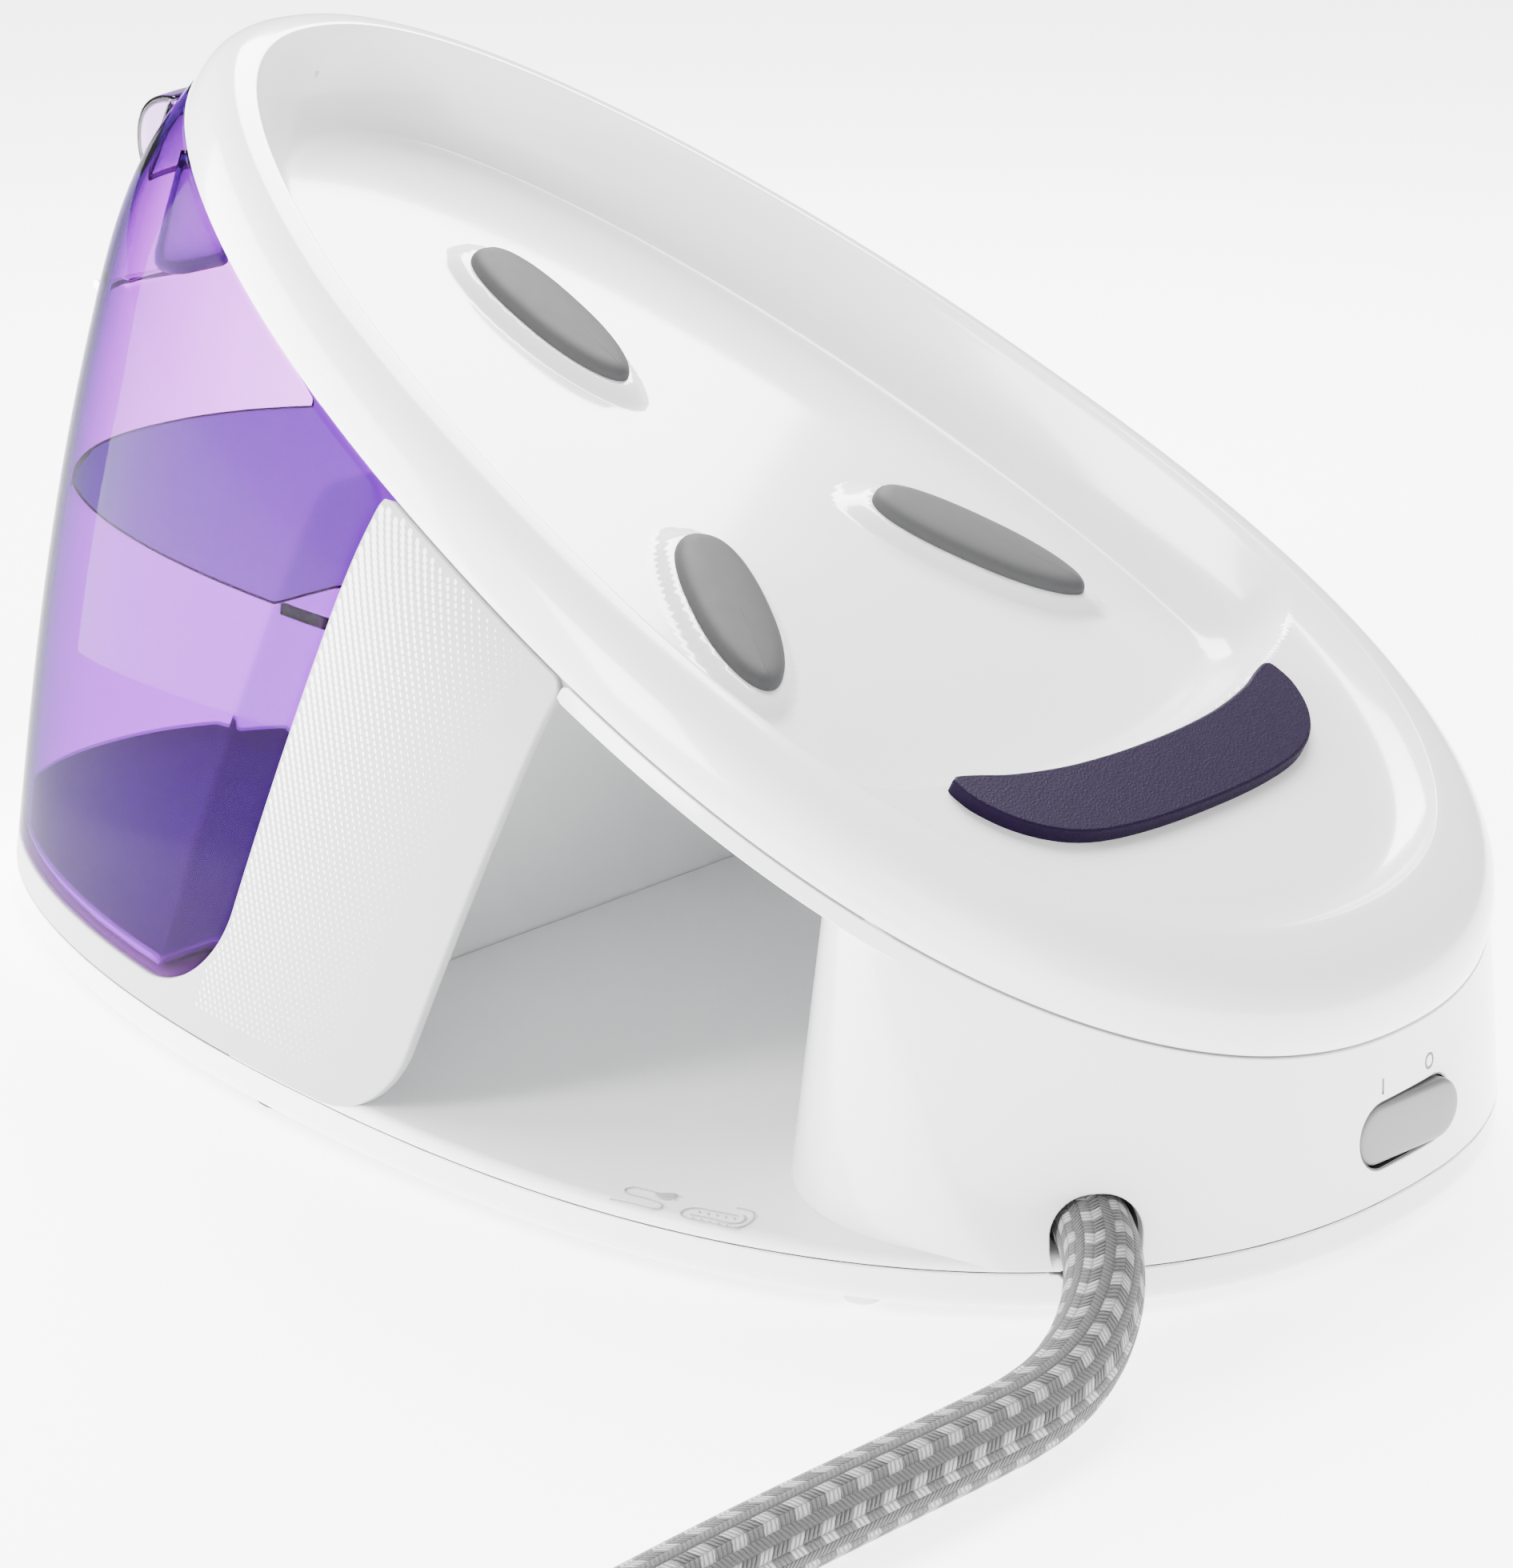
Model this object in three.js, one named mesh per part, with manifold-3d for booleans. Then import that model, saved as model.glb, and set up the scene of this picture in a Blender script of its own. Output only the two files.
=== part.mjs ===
// Steam generator base: a tray on rubber feet, front and rear housings, a hose bay, a sloping cover
// with a dish for the iron, a removable water tank, the steam works inside and the steam hose.
// Millimetres. +Z is up and the origin is on the table under the middle of the base. +X points to
// the low end with the power switch, and -Y to the side with the open hose bay.
import * as THREE from "three";
import { mergeVertices } from "three/addons/utils/BufferGeometryUtils.js";
import Module from "manifold-3d";

const wasm = await Module();
wasm.setup();
const { Manifold } = wasm;

// ---------------------------------------------------------------- driving dimensions
const GAP = 0.3; // between pieces that touch
const WALL = 2.6; // housing wall
const STEPS = 60; // points round the oval outlines

const FOOT_HEIGHT = 3; // underside of the tray above the table
const TRAY_TOP = 10; // parting line between tray and housings
const TRAY_FLOOR = FOOT_HEIGHT + 2.4;
const HOUSING_BOTTOM = TRAY_TOP + GAP;

// Egg-shaped outlines: a superellipse that is wider towards +X.
const BASE = { halfLength: 180.9, halfWidth: 103, power: 2.24, egg: 0.212, centre: 0 };
const COVER = { halfLength: 148.9, halfWidth: 87.6, power: 2.21, egg: 0.222, centre: 30.6 };
const REAR_BULGE = 10.8; // how far the tank end swells beyond a straight wall
const BULGE_PEAK = 0.7; // where on the wall's height it swells most

// The cover's parting line lies in one sloping plane.
const COVER_HEIGHT = 130.3; // height of that plane over the origin
const COVER_SLOPE = 0.4929; // fall in height for each unit towards +X
const COVER_TILT = Math.atan(COVER_SLOPE);

const RIM_TOP = 13.9; // rim's inner edge, square to the cover plane
const DECK = 8; // low deck that carries the heel dock
const DISH_FLOOR = -6;
const DISH_END = 94; // low end of the dish along the slope, from the cover's middle
const DISH_END_RADIUS = 160;
const SHELL = 2.6; // cover wall

const BAY_FLOOR = 13;
const BAY_FAR = 64; // inner face of the bay's far wall
const BAY_FRONT = 110; // inner face of the bay's front wall
const JAMB = 113.3; // front housing's edge beside the bay
const LOWER_DECK = -9.6; // top of the plate under the dish, square to the cover plane

const TANK_FLOOR = 17.3;
const OUTLET = { y: 76, z: 30, bore: 3, counterbore: 5, seat: 8.6 };

const LID = { halfWidth: 24, low: 138, reach: 50, thickness: 2.4, gripCurve: 78 };
const LID_AXIS = [-148.2, 136.4];

const SWITCH = { z: 24.3, halfWidth: 14, halfHeight: 7, faceX: 180.4, pivotX: 177.5 };

const HOSE_DIAMETER = 14;
const HOSE_SIDES = 10;
const HOSE_HOLE = { x: 159, y: -64, z: 16.4, heading: -41, width: 16.8, top: 24.6 };
const COIL = { x: 81.5, y: -424, inner: 53, outer: 101.5, height: 14.2 };
const CONNECTOR = { length: 50, radius: 8 };
const MAINS_GLAND = { x: 22, z: 30, hole: 5 };

const COLOURS = {
  white: { color: 0xf2f2f2, roughness: 0.25, metalness: 0 },
  satinWhite: { color: 0xececec, roughness: 0.5, metalness: 0 },
  grey: { color: 0x9a9a9a, roughness: 0.7, metalness: 0 },
  switchGrey: { color: 0xc3c3c3, roughness: 0.45, metalness: 0 },
  purple: { color: 0x42286c, roughness: 0.6, metalness: 0 },
  tank: { color: 0x7a3fc0, roughness: 0.1, metalness: 0, transparent: true, opacity: 0.6 },
  rubber: { color: 0x1c1c1c, roughness: 0.8, metalness: 0 },
  black: { color: 0x222222, roughness: 0.6, metalness: 0 },
  steel: { color: 0xb8b8b8, roughness: 0.35, metalness: 1 },
  cast: { color: 0x9c9c98, roughness: 0.6, metalness: 0.9 },
  board: { color: 0x2d5a3a, roughness: 0.6, metalness: 0 },
  silicone: { color: 0xd8d2c4, roughness: 0.6, metalness: 0 },
  sleeve: { color: 0x8a8a8a, roughness: 0.9, metalness: 0 },
};

// ---------------------------------------------------------------- solids
function solid(geometry) {
  geometry.deleteAttribute("normal");
  geometry.deleteAttribute("uv");
  const merged = mergeVertices(geometry, 1e-4);
  return new Manifold(new wasm.Mesh({
    numProp: 3,
    vertProperties: new Float32Array(merged.attributes.position.array),
    triVerts: new Uint32Array(merged.index.array),
  }));
}

function geometryOf(manifold) {
  const mesh = manifold.getMesh();
  const geometry = new THREE.BufferGeometry();
  geometry.setAttribute("position", new THREE.BufferAttribute(mesh.vertProperties, 3));
  geometry.setIndex(new THREE.BufferAttribute(mesh.triVerts, 1));
  geometry.computeVertexNormals();
  return geometry;
}

function box([x0, x1], [y0, y1], [z0, z1]) {
  const geometry = new THREE.BoxGeometry(x1 - x0, y1 - y0, z1 - z0);
  geometry.translate((x0 + x1) / 2, (y0 + y1) / 2, (z0 + z1) / 2);
  return solid(geometry);
}

// A cylinder or cone between two heights.
function post(x, y, z0, z1, radius, topRadius = radius, sides = 20) {
  const geometry = new THREE.CylinderGeometry(topRadius, radius, z1 - z0, sides);
  geometry.rotateX(Math.PI / 2);
  geometry.translate(x, y, (z0 + z1) / 2);
  return solid(geometry);
}

// A cylinder or cone along any direction, from one point to another.
function rod(from, to, radius, endRadius = radius, sides = 20) {
  const start = new THREE.Vector3(...from);
  const end = new THREE.Vector3(...to);
  const along = end.clone().sub(start);
  const geometry = new THREE.CylinderGeometry(endRadius, radius, along.length(), sides);
  const up = new THREE.Vector3(0, 1, 0);
  geometry.applyQuaternion(new THREE.Quaternion().setFromUnitVectors(up, along.clone().normalize()));
  const middle = start.add(end).multiplyScalar(0.5);
  geometry.translate(middle.x, middle.y, middle.z);
  return solid(geometry);
}

// A side view in X and Z, carried across from y0 to y1.
function sideCut(shape, y0, y1) {
  const options = { depth: y1 - y0, bevelEnabled: false, curveSegments: 6 };
  const geometry = new THREE.ExtrudeGeometry(shape, options);
  geometry.rotateX(Math.PI / 2);
  geometry.translate(0, y1, 0);
  return solid(geometry);
}

function polygon(points) {
  return new THREE.Shape(points.map(([x, z]) => new THREE.Vector2(x, z)));
}

// A tube along a list of points.
function tubeGeometry(points, radius, sides, steps) {
  const path = new THREE.CatmullRomCurve3(points.map((p) => new THREE.Vector3(...p)));
  const section = new THREE.Shape();
  for (let i = 0; i < sides; i += 1) {
    const angle = (2 * Math.PI * i) / sides;
    const corner = [radius * Math.cos(angle), radius * Math.sin(angle)];
    if (i === 0) section.moveTo(...corner);
    else section.lineTo(...corner);
  }
  section.closePath();
  return new THREE.ExtrudeGeometry(section, { steps, extrudePath: path, bevelEnabled: false });
}

// A closed solid through a stack of rings that all have the same number of points.
function loft(rings) {
  const count = rings[0].length;
  const positions = rings.flat(2);
  const index = [];
  const last = (rings.length - 1) * count;
  for (let r = 0; r < rings.length - 1; r += 1) {
    for (let i = 0; i < count; i += 1) {
      const a = r * count + i;
      const b = r * count + ((i + 1) % count);
      index.push(a, b, b + count, a, b + count, a + count);
    }
  }
  for (const [start, top] of [[0, false], [last, true]]) {
    const ring = rings[top ? rings.length - 1 : 0];
    const hub = positions.length / 3;
    for (const axis of [0, 1, 2]) {
      positions.push(ring.reduce((sum, point) => sum + point[axis], 0) / count);
    }
    for (let i = 0; i < count; i += 1) {
      const pair = [start + i, start + ((i + 1) % count)];
      if (!top) pair.reverse();
      index.push(hub, ...pair);
    }
  }
  const geometry = new THREE.BufferGeometry();
  geometry.setAttribute("position", new THREE.Float32BufferAttribute(positions, 3));
  geometry.setIndex(index);
  return solid(geometry);
}

// ---------------------------------------------------------------- the oval body
function outlinePoint(outline, angle, insetLength = 0, insetWidth = insetLength) {
  const a = outline.halfLength - insetLength;
  const b = outline.halfWidth - insetWidth;
  const c = Math.cos(angle);
  const s = Math.sin(angle);
  const x = a * Math.sign(c) * Math.abs(c) ** (2 / outline.power);
  const y = b * Math.sign(s) * Math.abs(s) ** (2 / outline.power) * (1 + (outline.egg * x) / a);
  return [x + outline.centre, y];
}

function angles() {
  return Array.from({ length: STEPS }, (_, i) => (2 * Math.PI * (i + 0.5)) / STEPS);
}

function coverPlane(x) {
  return COVER_HEIGHT - COVER_SLOPE * x;
}

function bulge(angle, height) {
  const rearwards = ((1 - Math.cos(angle)) / 2) ** 2;
  const below = Math.sin(((Math.PI / 2) * height) / BULGE_PEAK);
  const above = 1 - (Math.abs(height - BULGE_PEAK) / (1 - BULGE_PEAK)) ** 3.5;
  return REAR_BULGE * rearwards * (height < BULGE_PEAK ? below : above);
}

function outwards(outline, angle) {
  const [x0, y0] = outlinePoint(outline, angle - 0.001);
  const [x1, y1] = outlinePoint(outline, angle + 0.001);
  const length = Math.hypot(x1 - x0, y1 - y0);
  return [(y1 - y0) / length, (x0 - x1) / length];
}

// One level of the body wall: 0 is the tray's parting line, 1 the cover's.
function wallRing(height, inset) {
  return angles().map((angle) => {
    const [x0, y0] = outlinePoint(BASE, angle, inset);
    const [x1, y1] = outlinePoint(COVER, angle, inset);
    const [nx, ny] = outwards(BASE, angle);
    const swell = bulge(angle, height);
    return [
      x0 + (x1 - x0) * height + nx * swell,
      y0 + (y1 - y0) * height + ny * swell,
      HOUSING_BOTTOM + (coverPlane(x1) - HOUSING_BOTTOM) * height,
    ];
  });
}

function body(inset) {
  return loft([0, 0.2, 0.4, 0.55, 0.7, 0.82, 0.92, 1].map((height) => wallRing(height, inset)));
}

function belowCover(gap) {
  const far = 260;
  const low = -60;
  return sideCut(
    polygon([[-far, low], [far, low], [far, coverPlane(far) - gap], [-far, coverPlane(-far) - gap]]),
    -far,
    far,
  );
}

const outer = body(0);
const inner = body(WALL);
const wall = outer.subtract(inner).intersect(belowCover(GAP));

// Sloping edges seen from the side: tank to panel, and panel to bay.
const tankEdge = (z) => -28.2 + 0.391 * (z - 40);
const panelEdge = (z) => 22 + 0.387 * (z - HOUSING_BOTTOM);
const bayRear = (z) => -28 + 0.387 * (z - BAY_FLOOR);

function slopingEdge(edge, bottom, radius, shift = 0) {
  const high = 240;
  const shape = new THREE.Shape();
  shape.moveTo(-240, bottom);
  shape.lineTo(edge(bottom) + shift - radius, bottom);
  shape.quadraticCurveTo(
    edge(bottom) + shift,
    bottom,
    edge(bottom + radius * 0.8) + shift,
    bottom + radius * 0.8,
  );
  shape.lineTo(edge(high) + shift, high);
  shape.lineTo(-240, high);
  return shape;
}

// ---------------------------------------------------------------- tray and feet
function ovalPlate(outline, inset, z0, z1) {
  return loft([z0, z1].map((z) => angles().map((angle) => [...outlinePoint(outline, angle, inset), z])));
}

const SCREWS = [[-122, 60], [-122, -60], [138, 76.6], [124, -85]];
const FEET = [[-20, 88], [-20, -88], [166, 0], [-150, 40], [-150, -40]];
const FOOT_RADIUS = 8;

function hoseSlot(width, z0, z1) {
  const { x, y, heading } = HOSE_HOLE;
  return box([-12, 14], [-width / 2, width / 2], [z0, z1])
    .rotate([0, 0, heading])
    .translate([x, y, 0]);
}

function baseTray() {
  const rim = [[1.4, FOOT_HEIGHT], [0.4, FOOT_HEIGHT + 1.2], [0, TRAY_TOP]];
  const pan = loft(rim.map(([inset, z]) => (
    angles().map((angle) => [...outlinePoint(BASE, angle, inset), z])
  )));
  let tray = pan.subtract(ovalPlate(BASE, 3, TRAY_FLOOR, TRAY_TOP + 5));
  for (const [x, y] of SCREWS) tray = tray.subtract(post(x, y, 0, 20, 2.1));
  return tray.subtract(hoseSlot(HOSE_HOLE.width, 8.6, 20));
}

function foot() {
  const profile = [[0, 0], [FOOT_RADIUS - 0.6, 0], [FOOT_RADIUS, 0.6], [FOOT_RADIUS, 2.7], [0, 2.7]];
  const geometry = new THREE.LatheGeometry(profile.map(([r, z]) => new THREE.Vector2(r, z)), 24);
  return geometry.rotateX(Math.PI / 2);
}

function screw() {
  const profile = [[0, 0], [3.4, 0], [3.6, 0.4], [3.6, 1.9], [1.7, 1.9], [1.7, 13.4], [0, 14.6]];
  const geometry = new THREE.LatheGeometry(profile.map(([r, z]) => new THREE.Vector2(r, z)), 12);
  return geometry.rotateX(Math.PI / 2);
}

function screwBoss(x, y) {
  return post(x, y, FOOT_HEIGHT + 2.7, 24, 4.6).intersect(outer.add(ovalPlate(BASE, 3.2, 4, 11)));
}

// ---------------------------------------------------------------- housings
function rearHousing() {
  const side = sideCut(slopingEdge(panelEdge, HOUSING_BOTTOM, 18), -200, 200);
  const tankSpace = sideCut(slopingEdge(tankEdge, TANK_FLOOR - GAP, 30, GAP), -200, 200);
  const tankWall = sideCut(slopingEdge(tankEdge, TANK_FLOOR - GAP - WALL, 30, GAP + WALL), -200, 200)
    .subtract(tankSpace)
    .intersect(outer)
    .intersect(belowCover(GAP));
  let housing = wall.intersect(side).subtract(tankSpace).add(tankWall);
  for (const [x, y] of SCREWS.slice(0, 2)) {
    housing = housing.add(post(x, y, FOOT_HEIGHT + 2.7, TANK_FLOOR - GAP - 0.5, 4.6));
    housing = housing.subtract(post(x, y, 0, TANK_FLOOR - 1.4, 2));
  }
  const seat = rod([-45, OUTLET.y, OUTLET.z], [-15, OUTLET.y, OUTLET.z], OUTLET.seat + GAP);
  return housing.subtract(seat).subtract(onCover(dish(SHELL + GAP)));
}

function frontSide() {
  const near = new THREE.Shape();
  near.moveTo(240, HOUSING_BOTTOM);
  near.lineTo(148, HOUSING_BOTTOM);
  near.quadraticCurveTo(JAMB, HOUSING_BOTTOM + 1, JAMB, 31);
  near.lineTo(JAMB, 120);
  near.lineTo(240, 120);
  const far = polygon([
    [panelEdge(HOUSING_BOTTOM) + GAP, HOUSING_BOTTOM],
    [240, HOUSING_BOTTOM],
    [240, 160],
    [panelEdge(160) + GAP, 160],
  ]);
  return sideCut(near, -200, 0).add(sideCut(far, 0, 200));
}

function frontHousing() {
  const strip = belowCover(GAP).subtract(belowCover(4));
  const stripSpan = box([panelEdge(100) + 2, JAMB + 4], [-200, 0], [50, 130]);
  const overPanel = sideCut(slopingEdge(panelEdge, HOUSING_BOTTOM, 18, GAP), -200, 0);
  const jamb = box([JAMB, JAMB + WALL], [-98, -70], [HOUSING_BOTTOM + 12, 60]).intersect(outer);
  let housing = wall.intersect(frontSide()).add(jamb);
  housing = housing.add(wall.intersect(strip).intersect(stripSpan).subtract(overPanel));
  const { halfWidth, halfHeight, z } = SWITCH;
  housing = housing.subtract(
    box([165, 200], [-halfWidth - 1, halfWidth + 1], [z - halfHeight - 1, z + halfHeight + 1]),
  );
  housing = housing.subtract(hoseSlot(HOSE_HOLE.width, 0, HOSE_HOLE.top));
  for (const [x, y] of SCREWS.slice(2)) {
    housing = housing.add(screwBoss(x, y)).subtract(post(x, y, 0, 22, 2));
  }
  return housing;
}

function bayLiner() {
  const height = 200;
  const inside = body(WALL + GAP);
  const floorZ = [HOUSING_BOTTOM, BAY_FLOOR];
  const floorInside = inside.intersect(box([-40, BAY_FRONT + WALL], [-200, BAY_FAR + WALL], floorZ));
  const lip = outer.intersect(box([24, JAMB - GAP], [-200, 0], floorZ));
  const rear = polygon([
    [bayRear(HOUSING_BOTTOM) - WALL, HOUSING_BOTTOM],
    [bayRear(HOUSING_BOTTOM), HOUSING_BOTTOM],
    [bayRear(height), height],
    [bayRear(height) - WALL, height],
  ]);
  const behindRear = polygon([
    [-60, 0],
    [bayRear(0) - WALL, 0],
    [bayRear(height) - WALL, height],
    [-60, height],
  ]);
  const rearWall = sideCut(rear, -200, BAY_FAR + WALL).intersect(inside);
  const farWall = box([-40, BAY_FRONT + WALL], [BAY_FAR, BAY_FAR + WALL], [HOUSING_BOTTOM, 150]);
  const frontWall = box([BAY_FRONT, BAY_FRONT + WALL], [-200, BAY_FAR + WALL], [HOUSING_BOTTOM, 150]);
  const ceiling = onCover(box([-200, 200], [-200, 200], [-120, LOWER_DECK - 2 - GAP]));
  let liner = floorInside.add(lip).add(rearWall).add(farWall).add(frontWall.intersect(inside));
  liner = liner.intersect(ceiling).subtract(sideCut(behindRear, -200, 200));
  const { x, z, hole } = MAINS_GLAND;
  return liner.subtract(rod([x, BAY_FAR - 5, z], [x, BAY_FAR + 8, z], hole));
}

function lowerDeck() {
  const rings = [LOWER_DECK - 2, LOWER_DECK].map((w) => (
    angles().map((angle) => [...coverOutline(angle, 14, 14), w])
  ));
  const behind = box([-200, 95], [-200, 200], [-40, 40]);
  const tankSide = sideCut(slopingEdge(tankEdge, 0, 20, GAP * 2 + WALL), -200, 200);
  return onCover(loft(rings).intersect(behind)).intersect(body(WALL + GAP)).subtract(tankSide);
}

// ---------------------------------------------------------------- cover, in its own sloping frame
function onCover(manifold) {
  return manifold
    .rotate([0, THREE.MathUtils.radToDeg(COVER_TILT), 0])
    .translate([COVER.centre, 0, coverPlane(COVER.centre)]);
}

const SLOPING = { ...COVER, halfLength: COVER.halfLength / Math.cos(COVER_TILT), centre: 0 };
// How far in the rim's inner edge lies from the parting line.
const INNER_EDGE = { length: 16.6, width: 11.4, shift: -2.1 };

function coverOutline(angle, insetLength, insetWidth) {
  const [u, v] = outlinePoint(SLOPING, angle, insetLength, insetWidth);
  return [u + INNER_EDGE.shift * Math.min(1, insetLength / INNER_EDGE.length), v];
}

// The rim's section: share of the way in to the inner edge, and height over the parting line.
const RIM_SECTION = [[0, 0], [0.04, 3.4], [0.15, 7.4], [0.36, 10.9], [0.66, 13.2], [1, RIM_TOP]];

function rimSolid(thickness, bottom) {
  const rings = RIM_SECTION.map(([share, w]) => angles().map((angle) => [
    ...coverOutline(angle, INNER_EDGE.length * share + thickness, INNER_EDGE.width * share + thickness),
    w <= 0 ? bottom : w - thickness,
  ]));
  return loft(rings);
}

function softMin(a, b, softness) {
  return -softness * Math.log(Math.exp(-a / softness) + Math.exp(-b / softness));
}

function dishRing(inset, w) {
  return angles().map((angle) => {
    const [u, v] = coverOutline(angle, INNER_EDGE.length + inset, INNER_EDGE.width + inset);
    const end = DISH_END - (v * v) / (2 * DISH_END_RADIUS) - inset + 3;
    return [softMin(u, end, 5), v, w];
  });
}

// The dish: steep side, rounded foot, flat floor. A positive growth makes the solid round it.
function dish(growth) {
  const section = [[15, -8], [6.5, -2], [3.2, 4], [0.6, 11], [-0.4, 16], [-1.6, 22]];
  const floor = [DISH_FLOOR, DISH_FLOOR + 0.9, DISH_FLOOR + 3.4, 6, RIM_TOP, RIM_TOP + 8];
  return loft(section.map(([inset], i) => dishRing(inset - growth, floor[i] - (i < 5 ? growth : 0))));
}

function deck(growth) {
  const section = [[18, DECK], [9, DECK + 0.6], [3, DECK + 3], [0, RIM_TOP], [-2, RIM_TOP + 8]];
  return loft(section.map(([inset, w], i) => angles().map((angle) => [
    ...coverOutline(angle, INNER_EDGE.length + inset - growth, INNER_EDGE.width + inset - growth),
    w - (i < 4 ? growth : 0),
  ])));
}

const PAD = { halfLength: 25, halfWidth: 8, low: -3.3, crown: 2 };
const PADS = [[-68.5, 0, 0], [23.2, -37, -28], [23.2, 37, 28]];

function leaf(halfLength, halfWidth) {
  const count = 28;
  return Array.from({ length: count }, (_, i) => {
    const angle = (2 * Math.PI * (i + 0.5)) / count;
    return [halfLength * Math.cos(angle), halfWidth * Math.sin(angle)];
  });
}

function padSolid(halfLength, halfWidth, levels) {
  return loft(levels.map(([scale, w]) => leaf(halfLength * scale, halfWidth * scale)
    .map(([u, v]) => [u, v, w])));
}

function topCover() {
  const skin = rimSolid(0, 0).subtract(dish(0)).subtract(deck(0));
  const underside = rimSolid(SHELL, -1).subtract(dish(SHELL)).subtract(deck(SHELL));
  let cover = skin.subtract(underside);
  cover = cover.add(dish(SHELL).subtract(dish(0)).intersect(box([-190, 190], [-120, 120], [-20, DECK])));
  for (const [u, v, turn] of PADS) {
    const levels = [[1, DISH_FLOOR - 1], [0.9, PAD.low - GAP]];
    const seat = padSolid(PAD.halfLength + 2.5, PAD.halfWidth + 2.5, levels);
    cover = cover.add(seat.rotate([0, 0, turn]).translate([u, v, 0]));
  }
  return cover;
}

function restPad() {
  const { halfLength, halfWidth, low, crown } = PAD;
  const levels = [[1, low], [1, low + 0.8], [0.8, low + crown - 0.3], [0.4, low + crown]];
  return padSolid(halfLength, halfWidth, levels);
}

function heelDock() {
  const half = 47;
  const rear = 112;
  const shape = new THREE.Shape();
  const edge = (v) => DISH_END + 1 - (v * v) / (2 * DISH_END_RADIUS);
  shape.moveTo(edge(half), -half);
  shape.quadraticCurveTo(2 * edge(0) - edge(half), 0, edge(half), half);
  shape.quadraticCurveTo(rear - 1, half - 3, rear - 1, half - 12);
  shape.quadraticCurveTo(rear + 1.5, 0, rear - 1, -half + 12);
  shape.quadraticCurveTo(rear - 1, -half + 3, edge(half), -half);
  const options = { depth: 2.6, bevelEnabled: false, curveSegments: 10 };
  const geometry = new THREE.ExtrudeGeometry(shape, options);
  return geometry.translate(0, 0, DECK + GAP + 0.6);
}

// ---------------------------------------------------------------- water tank
const tankShape = sideCut(slopingEdge(tankEdge, TANK_FLOOR, 30), -200, 200);

// What the filler lid sweeps through as it turns on its pin.
function lidSweep(grow) {
  const [x, z] = LID_AXIS;
  const half = LID.halfWidth + grow;
  const swept = rod([x, -half, z], [x, half, z], LID.reach + grow, LID.reach + grow, 48);
  return swept.intersect(box([-200, -90], [-half, half], [LID.low - 10 * grow, 200]));
}

function waterTank() {
  const { y, z, bore, counterbore } = OUTLET;
  const skin = 2.4;
  const clearance = 1.2;
  const underDish = (extra) => onCover(dish(SHELL + clearance + extra));
  const shell = outer.intersect(tankShape).intersect(belowCover(clearance)).subtract(underDish(0));
  const hollowShape = sideCut(slopingEdge(tankEdge, TANK_FLOOR + 2.2, 28, -skin), -200, 200);
  const hollow = body(skin)
    .intersect(hollowShape)
    .intersect(belowCover(clearance + skin))
    .subtract(underDish(skin));
  const neck = box([-50, -20], [y - 9, y + 9], [z - 10, z + 10]).intersect(outer).intersect(tankShape);
  return shell
    .subtract(hollow)
    .add(neck)
    .subtract(lidSweep(0.5))
    .subtract(rod([-60, y, z], [-20, y, z], bore))
    .subtract(rod([-46, y, z], [-20, y, z], counterbore));
}

// The grip's section at the middle. To each side it moves in along the body's curve.
function lidGrip() {
  const section = new THREE.Shape();
  section.moveTo(-136, 161.5);
  section.quadraticCurveTo(-139.6, 166, -138.3, 173);
  section.quadraticCurveTo(-137, 181, -126.5, 180.2);
  section.lineTo(-127, 177);
  section.lineTo(-134, 163);
  const points = section.getPoints(6);
  return loft([-1, -0.67, -0.33, 0, 0.33, 0.67, 1].map((share) => {
    const y = share * LID.halfWidth;
    return points.map((point) => [point.x + (y * y) / LID.gripCurve, y, point.y]);
  }));
}

function fillerLid() {
  const plate = outer.subtract(body(LID.thickness)).intersect(lidSweep(0));
  return plate.add(lidGrip());
}

function lidPin() {
  const [x, z] = LID_AXIS;
  const half = LID.halfWidth - 0.5;
  return rod([x, -half, z], [x, half, z], 1.1, 1.1, 12);
}

// ---------------------------------------------------------------- power switch
function rocker() {
  const { z, halfWidth, halfHeight, faceX, pivotX } = SWITCH;
  const shape = new THREE.Shape();
  const straight = halfWidth - halfHeight;
  shape.absarc(straight, 0, halfHeight, -Math.PI / 2, Math.PI / 2);
  shape.absarc(-straight, 0, halfHeight, Math.PI / 2, (3 * Math.PI) / 2);
  const geometry = new THREE.ExtrudeGeometry(shape, { depth: 5, bevelEnabled: false, curveSegments: 8 });
  geometry.rotateZ(Math.PI / 2);
  geometry.rotateY(Math.PI / 2);
  geometry.translate(faceX - 5, 0, z);
  return solid(geometry).translate([-pivotX, 0, 0]).rotate([0, 0, -7]).translate([pivotX, 0, 0]);
}

function switchHousing() {
  const { z, halfWidth, halfHeight } = SWITCH;
  const sides = (margin) => [
    [-halfWidth - margin, halfWidth + margin],
    [z - halfHeight - margin, z + halfHeight + margin],
  ];
  const block = box([161, 177], ...sides(3));
  const well = box([170.5, 190], ...sides(0.8));
  return block.subtract(well).intersect(body(WALL + GAP));
}

// ---------------------------------------------------------------- steam works
const PUMP = { y: 81, z: 30, from: 14, to: 70 };

function waterPump() {
  const { y, z, from, to } = PUMP;
  const coil = box([from + 18, from + 42], [y - 11, y + 11], [z - 12, z + 12]);
  return coil
    .add(rod([from, y, z], [to, y, z], 5.5))
    .add(rod([from + 6, y, z], [to - 8, y, z], 8.5));
}

function pumpMount() {
  const { y, z, from } = PUMP;
  return box([from + 12, from + 48], [y - 12, y + 12], [TRAY_FLOOR + GAP, z - 12 - GAP]);
}

function boiler() {
  const block = box([120, 156], [-16, 54], [18, 44]);
  const flange = box([118, 158], [-18, 56], [28, 31]);
  return block.add(flange).add(post(146, 30, 40, 49, 7));
}

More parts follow.
